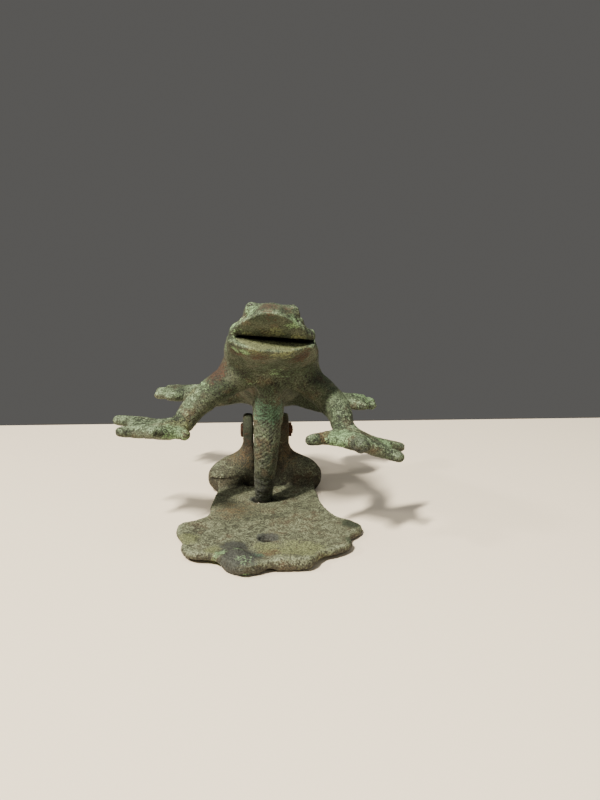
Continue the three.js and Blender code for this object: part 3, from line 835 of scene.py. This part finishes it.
@dataclass
class FrogCasting:
    """The whole frog, with its tang and striker horn, as one continuous casting.

    Sizes are in millimetres.
    """

    pose: FrogPose
    pitch: float = 0.7
    middle_rise: float = 27.0  # of the body's centre line over the pin
    middle_slope: float = 0.49
    limb_blend: float = 5.0
    finger_fuse: float = 1.8
    finger_swell: float = 0.4
    horn_blend: float = 8.0
    mouth_corner: tuple[float, float] = (72.0, 58.4)  # ahead of the pin, and above it
    upper_lip: float = math.radians(38.5)
    lower_lip: float = math.radians(21)
    mouth_deeper: float = 1.0
    mouth_reach: tuple[float, float] = (16.2, 18.6)  # to its two corners
    mouth_droop: float = 0.04  # the lower lip's fall towards the second corner, as a slope
    slit: float = 0.7
    slit_depth: float = 8.0
    bore: float = 2.85
    skin: CastSkin = field(default_factory=CastSkin)

    # each palm, and places two thirds of the way along its digits, which the webs reach
    WEBS = (
        ((-46, 58, 12.4), ((-64, 52.2, 13.4), (-61.5, 65.6, 12.2), (-50, 71, 13.3), (-39.6, 65.5, 12.4))),
        ((37, 74, 16), ((55.5, 66.4, 11.2), (52.5, 83, 12.2), (38.6, 87.5, 16.4), (24.4, 78.5, 16.2))),
        ((-42, -20, 15.6), ((-53, -14.8, 14.2), (-58, -19.2, 14.1), (-58, -25, 14.6), (-54, -29, 15.5))),
        ((42, -20, 15.6), ((53, -14.8, 14.2), (58, -19.2, 14.1), (58, -25, 14.6), (54, -29, 15.5))),
    )

    def nodes(self) -> list[str]:
        """The frame's solids that make up this casting."""
        return list(frame["record"]["behaviour"]["bodies"][Body.FROG.value])

    def middle(self, ahead: float) -> np.ndarray:
        """A point on the body's centre line, a distance ahead of the pin."""
        return self.pose.place(0.0, ahead, self.middle_rise + self.middle_slope * ahead)

    def block(self) -> Clay:
        """Presses the frame's solids together."""
        clay = Clay(*box_mm(*self.nodes()), self.pitch)
        clay.press("torso", 0.0, swell=0.7)
        clay.press("lower_jaw", 1.5)
        clay.press("skull", 1.5)
        for side in ("left", "right"):
            clay.press(f"{side}_eye", 3.0, swell=-0.5)
            clay.press(f"{side}_upper_arm", self.limb_blend + 2.0)
            clay.press(f"{side}_forearm", self.limb_blend * 0.5)
            clay.press(f"{side}_hand", 2.0, self.finger_fuse, self.finger_swell)
            clay.press(f"{side}_thigh", self.limb_blend)
            clay.press(f"{side}_shank", self.limb_blend * 0.5)
            clay.press(f"{side}_hind_foot", 2.0, self.finger_fuse, self.finger_swell)
        clay.press("hinge_tang", 2.5)
        clay.press("striker_horn", self.horn_blend)
        clay.round_off(2)
        return clay

    def on_back(self, ahead: float, degrees: float, clay: Clay) -> np.ndarray:
        """A point of the body's skin, by its place along the body and its turn from the back."""
        turn = math.radians(degrees)
        way = self.pose.place(math.sin(turn), 0.0, math.cos(turn)) - self.pose.place(0, 0, 0)
        return clay.skin_point(self.middle(ahead), way)

    def model_back(self, clay: Clay) -> None:
        """Adds the folds along the back and the hump over the pelvis."""
        for side in (-1, 1):
            fold = [(*(self.on_back(ahead, side * 48, clay)), 1.2) for ahead in range(4, 62, 6)]
            Stroke(tuple(fold), 2.2).work(clay, as_is)
            hump = self.on_back(13, side * 16, clay)
            Stroke(((*hump, 2.6),), 5.0).work(clay, as_is)
        spine = [(*(self.on_back(ahead, 0, clay)), 0.7) for ahead in range(18, 60, 6)]
        Stroke(tuple(spine), 2.0, groove=True).work(clay, as_is)

    def model_head(self, clay: Clay) -> None:
        """Models the cheeks, ear discs, nostrils, lids and one eye's socket, and cuts the mouth."""
        place = self.pose.place
        for side in (-1, 1):
            cheek = ((side * 16.4, 71.0, 61.5, 2.0), (side * 16.6, 71.0, 56.0, 2.2))
            Stroke(cheek, 2.0).work(clay, place)
            ring = []
            for step in range(13):
                turn = math.tau * step / 12
                ring.append((side * 20.2, 60 + 3.4 * math.cos(turn), 58 + 3.4 * math.sin(turn), 0.55))
            Stroke(tuple(ring), 0.8, groove=True).work(clay, place)
            Stroke(((side * 3.6 - 1.5, 82.2, 72.2, 0.8),), 0.8, groove=True).work(clay, place)
            eye = np.array([side * 8.5 - 1.0, 71.0, 69.6])
            lid = []
            for step in range(9):
                turn = math.radians(-70 + 200 * step / 8)
                lid.append((
                    eye[0] + side * (2.6 + 2.4 * math.cos(turn) * 0.6),
                    eye[1] + 4.6 * math.sin(turn),
                    eye[2] - 2.2 + 4.6 * math.cos(turn) * 0.9,
                    0.55,
                ))
            Stroke(tuple(lid), 0.8, groove=True).work(clay, place)
        sideways = place(1, 0, 0) - place(0, 0, 0)
        socket = [(*clay.skin_point(place(6, 69.0 + 0.2 * step, 62.0 + 2.2 * step), sideways), 1.5)
                  for step in range(5)]
        Stroke(tuple(socket), 0.6, groove=True).work(clay, as_is)
        self.cut_mouth(clay)

    def cut_mouth(self, clay: Clay) -> None:
        """Cuts the open mouth: a wedge between the lips, and the dark slit behind it."""
        low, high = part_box("lower_jaw")[0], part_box("skull")[1]
        window = clay.window(np.array(low) / MM, np.array(high) / MM, 2.0)
        x, y, z = clay.places(window)
        cos, sin = math.cos(self.pose.lean), math.sin(self.pose.lean)
        dx, dz = x - self.pose.pin[0], z - self.pose.pin[2]
        rise = dx * sin + dz * cos - self.mouth_corner[1]
        ahead = self.pose.pin[1] - y - self.mouth_corner[0] + self.mouth_deeper
        upper = rise * math.cos(self.upper_lip) - ahead * math.sin(self.upper_lip)
        side = dx * cos - dz * sin
        droop = np.clip(side + self.mouth_reach[0], 0.0, 60.0) * self.mouth_droop
        lower = -(rise + droop) * math.cos(self.lower_lip) - ahead * math.sin(self.lower_lip)
        wedge = np.maximum(upper, lower)
        gape = self.slit / 2
        slit = np.maximum(np.maximum(rise - gape, -rise - gape - droop), -ahead - self.slit_depth)
        cheeks = np.maximum(-side - self.mouth_reach[0], side - self.mouth_reach[1])
        clay.cut(window, np.maximum(np.minimum(wedge, slit), cheeks), 0.25)

    def model_limbs(self, clay: Clay) -> None:
        """Pits one forearm, fills the horn's root and webs the digits."""
        place = self.pose.place
        for x, ahead, rise, r in ((-37.8, 50.2, 23.8, 1.0), (-34.6, 51.0, 24.4, 0.9),
                                  (-37.2, 50.6, 21.6, 1.1), (-35.2, 51.4, 20.0, 0.7),
                                  (-33.0, 50.8, 27.4, 0.7)):
            Stroke(((x, ahead, rise, r),), 0.6, groove=True).work(clay, place)
        Stroke(((0.0, 48.5, 24.0, 4.6), (0.5, 51.0, 33.0, 5.6)), 5.0).work(clay, place)
        for palm, digits in self.WEBS:
            for first, second in zip(digits, digits[1:]):
                for share in (0.25, 0.5, 0.75):
                    middle = tuple(a + (b - a) * share for a, b in zip(first, second))
                    Stroke(((*palm, 3.2), (*middle, 2.5)), 2.5).work(clay, place)

    def cut_bore(self, clay: Clay) -> None:
        """Cuts the loose hole for the pin through the tang."""
        window = clay.window(*box_mm("hinge_tang"), 1.5)
        _, y, z = clay.places(window)
        gap = np.sqrt((y - self.pose.pin[1]) ** 2 + (z - self.pose.pin[2]) ** 2) - self.bore
        clay.cut(window, np.broadcast_to(gap, clay.field[window].shape), 0.4)

    def patches(self) -> list[Patch]:
        """Where the patina changes colour and the skin its texture, in the frog's frame; some soot patches are
        painted shade, and some mint patches a painted highlight.
        """
        return [
            Patch(Mark.CALM, (0, 0, 0), 13.0),
            Patch(Mark.MOSS, (-25, 49, 39), 10.0, 0.85),
            Patch(Mark.RUST, (-25, 49, 40), 9.0, 0.85),
            Patch(Mark.RUST, (-27, 50, 35), 6.0, 0.7),
            Patch(Mark.RUST, (-3, 79, 72), 9.0, 0.66),
            Patch(Mark.RUST, (5, 77, 71), 7.0, 0.62),
            Patch(Mark.RUST, (-17, 73, 51), 5.0, 0.85),
            Patch(Mark.RUST, (-6, 77, 49), 7.0, 0.8),
            Patch(Mark.RUST, (14, 72, 50), 6.5, 0.9),
            Patch(Mark.MINT, (-17, 74, 52), 2.6, 1.2),
            Patch(Mark.MINT, (-12, 76.5, 52.5), 2.6, 1.3),
            Patch(Mark.MINT, (2, 60, 42), 9.0, 0.5),
            Patch(Mark.MINT, (-9, 52, 38), 7.0, 0.5),
            Patch(Mark.MOSS, (-12, 60, 38), 7.0, 0.8),
            Patch(Mark.MOSS, (10, 66, 44), 6.0, 0.6),
            Patch(Mark.MINT, (-17, 72, 64), 6.0, 0.7),
            # pale crust along the frog's -X flank, with a painted highlight where the light catches it
            Patch(Mark.MINT, (-21, 66, 61), 4.0, 1.0),
            Patch(Mark.MINT, (-22, 62, 54), 4.0, 0.9),
            # painted shade: this soot patch darkens the head's +X side beside the eye
            Patch(Mark.SOOT, (15, 69, 67), 4.5, 0.9),
            Patch(Mark.LIME, (0, 76, 56.5), 7.5, 1.0),
            Patch(Mark.LIME, (-11, 74, 56.5), 5.0, 1.1),
            Patch(Mark.LIME, (11, 74, 56.5), 5.0, 1.0),
            Patch(Mark.MINT, (-10, 76, 70), 5.0, 0.8),
            Patch(Mark.MINT, (8, 78, 67), 5.0, 0.75),
            Patch(Mark.MINT, (-30, 50, 31), 4.0, 0.9),
            Patch(Mark.LIME, (-6, 77, 55), 6.5, 1.1),
            Patch(Mark.LIME, (5, 77, 55), 6.5, 1.0),
            Patch(Mark.LIME, (-36, 48, 28), 4.5, 1.0),
            Patch(Mark.LIME, (-40, 66, 13), 9.0, 1.2),
            Patch(Mark.MINT, (-42, 69, 13), 8.0, 0.85),
            Patch(Mark.MOSS, (-53, 51, 12), 7.0, 0.9),
            Patch(Mark.MOSS, (30, 51, 29), 11.0, 1.1),
            Patch(Mark.MOSS, (34, 54, 24), 8.0, 0.9),
            Patch(Mark.MOSS, (-52, -22, 15), 12.0, 0.6),
            Patch(Mark.CALM, (0, 75, 57), 10.0, 0.9),
            Patch(Mark.CALM, (0, 76, 64), 9.0, 0.7),
            Patch(Mark.MOSS, (22, 50, 34), 10.0, 0.9),
            Patch(Mark.TAN, (24, 79, 17), 5.0, 1.1),
            Patch(Mark.MINT, (31, 82, 17), 7.0, 1.0),
            Patch(Mark.LIME, (44, 74, 14), 6.0, 0.8),
            Patch(Mark.MINT, (54, 76, 12), 9.0, 0.85),
            Patch(Mark.SOOT, (39, 91, 16), 7.0, 0.8),
            Patch(Mark.PITTED, (39, 91, 16), 8.0, 1.0),
            Patch(Mark.SOOT, (62, 63, 9.6), 4.0, 0.7),
            Patch(Mark.SOOT, (57, 86, 11.4), 4.0, 0.7),
            Patch(Mark.SOOT, (50, 66, 14), 5.0, 0.6),
            Patch(Mark.PITTED, (-36, 50, 24), 8.0, 0.6),
            Patch(Mark.TEAL, (0, 48, 22), 9.0, 1.1),
            Patch(Mark.FILED, (0, 50, 12), 16.0, 1.1),
            Patch(Mark.FILED, (11, 74, 50), 11.0, 1.0),
            Patch(Mark.FILED, (-2, 76, 47), 10.0, 0.6),
            Patch(Mark.FILED, (2, 58, 38), 15.0, 0.55),
            # painted shade: these soot patches darken the horn's lower part, which faces down
            Patch(Mark.SOOT, (0, 45, -2), 13.0, 0.6),
            Patch(Mark.SOOT, (0, 42, -18), 15.0, 0.8),
            Patch(Mark.MINT, (3, 46, 5), 9.0, 0.55),
            Patch(Mark.PITTED, (0, 47, -8), 14.0, 1.0),
            Patch(Mark.PITTED, (0, 42, -20), 12.0, 0.8),
            Patch(Mark.MINT, (60, -30, 13), 16.0, 0.95),
        ]

    def make(self) -> bpy.types.Object:
        """Models, casts and dresses the frog.

        Returns:
            The finished piece, riding on the frog's body.
        """
        clay = self.block()
        self.model_back(clay)
        self.model_limbs(clay)
        self.model_head(clay)
        self.cut_bore(clay)
        piece = clay.cast("frog_casting")
        lay_patches(piece, self.patches(), self.pose.place)
        self.skin.apply(piece, BronzePatina("sand_cast_bronze_frog").build())
        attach(piece, Body.FROG.value)
        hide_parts(*self.nodes())
        return piece


@dataclass
class PlateCasting:
    """The back plate with its hinge foot and two lugs, as one continuous casting.

    Sizes are in millimetres.
    """

    pose: FrogPose
    pitch: float = 0.6
    fixing_hole: float = 4.15
    draft: float = 1.7  # how much narrower a fixing hole is at the back
    striker_hole: float = 5.5
    striker_draft: float = 1.5
    striker_aside: float = 0.6  # how far beside the horn's tip the middle of its hole lies
    horn_tip: tuple[float, float, float] = (0.0, 39.1, -26.1)
    boss_width: float = 1.5  # of the flat ring round each hole
    foot_aside: float = 0.7  # how far the hinge foot's middle lies towards -X
    pin_hole: float = 2.45
    rim_roll: float = 1.5  # radius of the rim's upper edge at the lobed end
    skin: CastSkin = field(default_factory=lambda: CastSkin(
        lump_size=11.0, lump_depth=0.4, grain_depth=0.2, pit_depth=0.3, seed=11))

    NODES = ("back_plate", "hinge_foot", "left_lug", "right_lug")

    def block(self) -> Clay:
        """Presses the frame's solids together."""
        clay = Clay(*box_mm(*self.NODES), self.pitch)
        clay.press("back_plate", 0.0)
        clay.press("hinge_foot", 2.0)
        for lug in ("left_lug", "right_lug"):
            clay.press(lug, 8.0)
        clay.round_off(1)
        return clay

    def roll_rim(self, clay: Clay) -> None:
        """Rounds the plate's rim over, most of all at its lobed end."""
        low, high = box_mm("back_plate")
        window = clay.window(low, (high[0], 44.0, high[2]), 2.0)
        _, y, z = clay.places(window)
        solid = clay.field[window] < 0.0
        plan = solid.any(axis=2)
        height = np.where(solid, z, low[2]).max(axis=2)
        edge = plan.copy()
        edge[1:-1, 1:-1] &= ~(plan[:-2, 1:-1] & plan[2:, 1:-1] & plan[1:-1, :-2] & plan[1:-1, 2:])
        rim = np.argwhere(edge) * clay.pitch
        cells = np.argwhere(plan) * clay.pitch
        gap = np.full(plan.shape, 0.0)
        nearest = [np.min(np.hypot(*(rim - cell).T)) for cell in cells]
        gap[plan] = nearest
        forward = smoothstep((20.0 - y[0, :, 0]) / 40.0)[None, :]
        radius = 1.2 + (self.rim_roll - 1.2) * forward
        bend = np.clip(1.0 - gap / radius, 0.0, 1.0)
        top = height - radius * (1.0 - np.sqrt(1.0 - bend**2))
        clay.cut(window, top[:, :, None] - z, 0.8)

    def model_toes(self, clay: Clay) -> None:
        """Raises the toe at the front of the rim, and the shoulders and brows of the hinge foot."""
        for run in (
            ((-14.5, -36, 1.2, 3.8), (-12.5, -44, 1.8, 4.4), (-10.5, -48, 2.0, 3.6)),
            ((-12, -46.5, 1.8, 3.8), (-5, -49, 2.0, 3.0)),
            ((5, -47.5, 2.6, 2.6), (15, -47.5, 2.8, 2.4)),
        ):
            Stroke(run, 3.5).work(clay, as_is)
        aside = self.foot_aside
        for side in (-1, 1):
            shoulder = ((side * 9.5 - aside, 62, 15.5, 5.0), (side * 19 - aside, 55.5, 8.8, 6.6),
                        (side * 23.6 - aside, 51.5, 6.5, 6.3))
            Stroke(shoulder, 6.0).work(clay, as_is)
            brow = ((side * 23.8 - aside, 49.2, 6.2, 5.2), (side * 14 - aside, 51.5, 6.0, 5.4))
            Stroke(brow, 4.0).work(clay, as_is)

    def drill(self, clay: Clay) -> None:
        """Cuts the pin's holes, and the fixing and striker holes, tapered and in flat rings."""
        thick = frame["record"]["mounts"][1]["pos_m"][2] / MM
        holes = frame["record"]["physics"]["openings"]
        spots = []
        for hole in holes:
            if "fixing" in hole["name"]:
                middle = [(a + b) / 2 / MM for a, b in zip(*hole["box_m"])]
                spots.append((middle[0], middle[1], self.fixing_hole, self.draft))
        tip = self.pose.place(*self.horn_tip)
        spots.append((tip[0] - self.striker_aside, tip[1], self.striker_hole, self.striker_draft))
        for across, along, radius, draft in spots:
            reach = radius + self.boss_width * 2
            window = clay.window((across - reach, along - reach, 0.0),
                                 (across + reach, along + reach, thick + 3.0), 1.0)
            x, y, z = clay.places(window)
            away = np.hypot(x - across, y - along)
            disc = np.maximum(away - radius - self.boss_width,
                              abs(z - thick / 2) - thick / 2 + 0.3)
            clay.join(window, disc, 0.0)
            taper = np.clip(1.0 - z / thick, 0.0, 1.0) * draft
            clay.cut(window, away - radius + taper, 0.8)
        low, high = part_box("left_lug")[0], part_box("right_lug")[1]
        window = clay.window(np.array(low) / MM, np.array(high) / MM, 1.0)
        _, y, z = clay.places(window)
        gap = np.hypot(y - self.pose.pin[1], z - self.pose.pin[2]) - self.pin_hole
        clay.cut(window, np.broadcast_to(gap, clay.field[window].shape), 0.3)

    def patches(self) -> list[Patch]:
        """Where the patina changes colour and the skin its texture, in the row frame; some patches are painted
        shadow on the left lug and painted shade in the holes.
        """
        return [
            Patch(Mark.CALM, (0, 63.5, 31), 12.0),
            Patch(Mark.LIME, (14, -38, 4), 14.0, 0.85),
            Patch(Mark.LIME, (-36, -24, 4), 8.0, 1.0),
            Patch(Mark.LIME, (-20, -38, 4), 7.0, 1.1),
            Patch(Mark.LIME, (0, -34, 4), 8.0, 0.8),
            Patch(Mark.TAN, (1, -39, 4), 7.0, 0.9),
            Patch(Mark.SOOT, (-14, -33, 4), 6.5, 1.2),
            Patch(Mark.SOOT, (-11, -46, 5), 10.0, 1.2),
            Patch(Mark.SOOT, (-14, -40, 5), 8.0, 1.1),
            Patch(Mark.TEAL, (-5, -43, 5), 4.5, 1.1),
            Patch(Mark.MINT, (-19, -42, 4), 4.0, 0.9),
            Patch(Mark.MINT, (-9, -50, 3), 5.0, 0.75),
            Patch(Mark.MINT, (-12, -40, 5), 3.5, 0.7),
            Patch(Mark.MOSS, (40, -10, 4), 7.0, 1.0),
            Patch(Mark.MOSS, (38, -30, 5), 7.0, 0.8),
            Patch(Mark.TAN, (-16, 10, 4), 22.0, 0.55),
            Patch(Mark.TAN, (-14, 58, 16), 12.0, 0.7),
            Patch(Mark.TAN, (14, 58, 16), 12.0, 0.7),
            # painted shadow: the frog's body shades the left lug, and these moss and rust patches darken it; the
            # rust is partly the lug's own brown
            Patch(Mark.MOSS, (-10, 54, 34), 14.0, 0.95),
            Patch(Mark.RUST, (-10, 52, 26), 10.0, 0.55),
            # painted shade: these soot patches darken the walls of the striker hole and the fixing hole, where
            # shade falls
            Patch(Mark.SOOT, (-2.4, 24.4, 1), 5.9, 1.9),
            Patch(Mark.SOOT, (0.3, -24, 1.5), 4.7, 2.1),
            Patch(Mark.RUST, (12, 56, 36), 9.0, 0.6),
        ]

    def make(self) -> bpy.types.Object:
        """Models, casts and dresses the back plate.

        Returns:
            The finished piece, riding on the back plate's body.
        """
        clay = self.block()
        self.roll_rim(clay)
        self.model_toes(clay)
        self.drill(clay)
        piece = clay.cast("back_plate_casting")
        lay_patches(piece, self.patches(), as_is)
        patina = BronzePatina("sand_cast_bronze_plate", under=("#2f2e23", "#3a372a"),
                              over=("#3d4133", "#4a4d3d"), chalk="#6c745e", brownness=0.3,
                              speckled=1.1, mottled=0.15)
        self.skin.apply(piece, patina.build())
        lie_flat(piece)
        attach(piece, Body.PLATE.value)
        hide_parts(*self.NODES)
        return piece


@dataclass
class HingePin:
    """The rusted steel pin that the frog swings on, with its head and washer."""

    pose: FrogPose
    shank: float = 2.4  # radius
    play: float = 0.15  # between the pin and its washer
    stretch: float = 4.0  # between the rings of points along the shank
    turns: int = 48

    def lathe(self, name: str, profile: Sequence[tuple[float, float]], closed: bool
              ) -> bpy.types.Object:
        """Turns a profile about the pin's axis.

        Args:
            name: The new object's name.
            profile: Points (radius, X) in millimetres.
            closed: Whether the profile closes on itself; otherwise it ends on the axis.

        Returns:
            The turned object.
        """
        points, faces = [], []
        for radius, x in profile:
            for step in range(self.turns):
                turn = math.tau * step / self.turns
                points.append((x * MM, (self.pose.pin[1] + radius * math.cos(turn)) * MM,
                               (self.pose.pin[2] + radius * math.sin(turn)) * MM))
        rows = len(profile)
        for row in range(rows if closed else rows - 1):
            for step in range(self.turns):
                after = (step + 1) % self.turns
                a, b = row * self.turns, ((row + 1) % rows) * self.turns
                faces.append((a + step, b + step, b + after, a + after))
        if not closed:
            faces.append(tuple(range(self.turns)))
            faces.append(tuple(reversed(range((rows - 1) * self.turns, rows * self.turns))))
        mesh = bpy.data.meshes.new(name)
        mesh.from_pydata(points, [], faces)
        thing = bpy.data.objects.new(name, mesh)
        bpy.context.scene.collection.objects.link(thing)
        return thing

    def finish(self, piece: bpy.types.Object, node: str, material: bpy.types.Material) -> None:
        """Rounds a turned piece, roughens it and puts it on the back plate's body."""
        edges = piece.modifiers.new("edges", "BEVEL")
        edges.width, edges.segments = 0.25 * MM, 2
        fine = piece.modifiers.new("fine", "SUBSURF")
        fine.levels = fine.render_levels = 2
        bake(piece)
        lay_patches(piece, [], as_is)
        skin = CastSkin(lump_size=3.0, lump_depth=0.22, grain_size=1.0, grain_depth=0.1,
                        pit_depth=0.0, granules=0.5, granule_size=0.22, seed=3)
        skin.apply(piece, material)
        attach(piece, Body.PLATE.value)
        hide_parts(node)

    def make(self) -> list[bpy.types.Object]:
        """Makes the pin and its washer.

        Returns:
            The two finished pieces.
        """
        steel = RustedSteel().build()
        pin_low, pin_high = box_mm("hinge_pin")
        washer_low, washer_high = box_mm("pin_washer")
        head = (pin_high[2] - pin_low[2]) / 2
        left, right = pin_low[0] + 0.15, pin_high[0] - 0.1
        thick = washer_high[0] - washer_low[0]
        rim = head - 0.1
        stations = [left + thick + self.stretch * step for step in range(1, 7)]
        profile = [(0.4, left), (head * 0.8, left), (rim, left + 0.5),
                   (rim, left + thick - 0.2), (self.shank, left + thick)]
        profile += [(self.shank, x) for x in stations if x < washer_high[0] - 1.0]
        profile += [(self.shank, washer_high[0] - 0.1), (self.shank * 0.95, right - 0.2),
                    (0.4, right)]
        pin = self.lathe("hinge_pin_rusted", profile, closed=False)
        bore = self.shank + self.play
        ring = [(bore, washer_low[0]), (rim, washer_low[0]), (rim, washer_high[0]),
                (bore, washer_high[0])]
        washer = self.lathe("pin_washer_rusted", ring, closed=True)
        self.finish(pin, "hinge_pin", steel)
        self.finish(washer, "pin_washer", steel)
        return [pin, washer]


# ------------------------------------------------------------------ studio


@dataclass
class Studio:
    """A plain pale table top, soft light from the upper left, and the camera."""

    camera_place: tuple[float, float, float] = (0.0, -0.2715, 0.112)
    camera_down: float = math.radians(10.8)
    camera_right: float = math.radians(3.34)
    lens: float = 27.0
    table_end: float = 0.2175
    table_colour: str = "#e9dfcd"
    room_colour: str = "#5b5a58"

    def camera(self) -> None:
        """Makes the camera."""
        data = bpy.data.cameras.new("camera")
        data.lens, data.sensor_width, data.sensor_fit = self.lens, 36.0, "AUTO"
        data.clip_start = 0.01
        eye = bpy.data.objects.new("camera", data)
        eye.location = self.camera_place
        eye.rotation_euler = (math.pi / 2 - self.camera_down, 0.0, -self.camera_right)
        bpy.context.scene.collection.objects.link(eye)
        bpy.context.scene.camera = eye

    def table(self) -> None:
        """Makes the table top, whose far end lies just behind the object."""
        material = bpy.data.materials.new("melamine_board")
        material.use_nodes = True
        shader = material.node_tree.nodes["Principled BSDF"]
        shader.inputs["Base Color"].default_value = linear(self.table_colour)
        shader.inputs["Roughness"].default_value = 0.45
        half, near, thick = 1.4, -1.6, 0.018
        mesh = bpy.data.meshes.new("table_top")
        low, high = (-half, near, -thick), (half, self.table_end, 0.0)
        points = [(x, y, z) for x in (low[0], high[0]) for y in (low[1], high[1])
                  for z in (low[2], high[2])]
        faces = [(0, 1, 3, 2), (4, 6, 7, 5), (0, 4, 5, 1), (2, 3, 7, 6), (0, 2, 6, 4), (1, 5, 7, 3)]
        mesh.from_pydata(points, [], faces)
        mesh.materials.append(material)
        board = bpy.data.objects.new("table_top", mesh)
        bpy.context.scene.collection.objects.link(board)

    def lamp(self, name: str, place: tuple[float, float, float], size: tuple[float, float],
             power: float, colour: str) -> None:
        """Hangs a rectangular soft lamp that faces the object.

        Args:
            name: The lamp's name.
            place: Where it hangs, in metres.
            size: Its width, and its length towards the object, in metres.
            power: Watts.
            colour: sRGB hex colour.
        """
        data = bpy.data.lights.new(name, "AREA")
        data.shape, data.energy, data.color = "RECTANGLE", power, linear(colour)[:3]
        data.size, data.size_y = size
        lamp = bpy.data.objects.new(name, data)
        lamp.location = place
        aim = Vector((0.0, 0.02, 0.05)) - Vector(place)
        lamp.rotation_euler = aim.to_track_quat("-Z", "Y").to_euler()
        bpy.context.scene.collection.objects.link(lamp)

    def room(self) -> None:
        """Sets the even grey surroundings."""
        world = bpy.data.worlds.new("room")
        world.use_nodes = True
        shade = world.node_tree.nodes["Background"]
        shade.inputs["Color"].default_value = linear(self.room_colour)
        shade.inputs["Strength"].default_value = 1.0
        bpy.context.scene.world = world

    def make(self) -> None:
        """Sets up the whole studio."""
        self.camera()
        self.table()
        self.lamp("key", (-0.73, -0.91, 1.66), (0.12, 0.34), 118.0, "#fff4e0")
        self.lamp("side", (-1.15, -0.05, 1.0), (0.12, 0.12), 9.0, "#fff4e0")
        self.lamp("fill", (0.5, -0.7, 0.8), (0.9, 0.9), 2.2, "#fff8ee")
        self.lamp("top", (0.0, 0.15, 1.1), (0.9, 0.9), 3.4, "#fffaf2")
        self.room()


def main() -> None:
    """Builds the knocker on its frame and logs the face count of each piece."""
    logging.basicConfig(level=logging.INFO, format="%(name)s: %(message)s")
    hinge = frame["joints"][0]
    pose = FrogPose(tuple(value / MM for value in hinge["pos_m"]))
    Studio().make()
    for piece in (PlateCasting(pose).make(), FrogCasting(pose).make(), *HingePin(pose).make()):
        log.info("%s: %d faces", piece.name, len(piece.data.polygons))


if __name__ == "__main__":
    main()
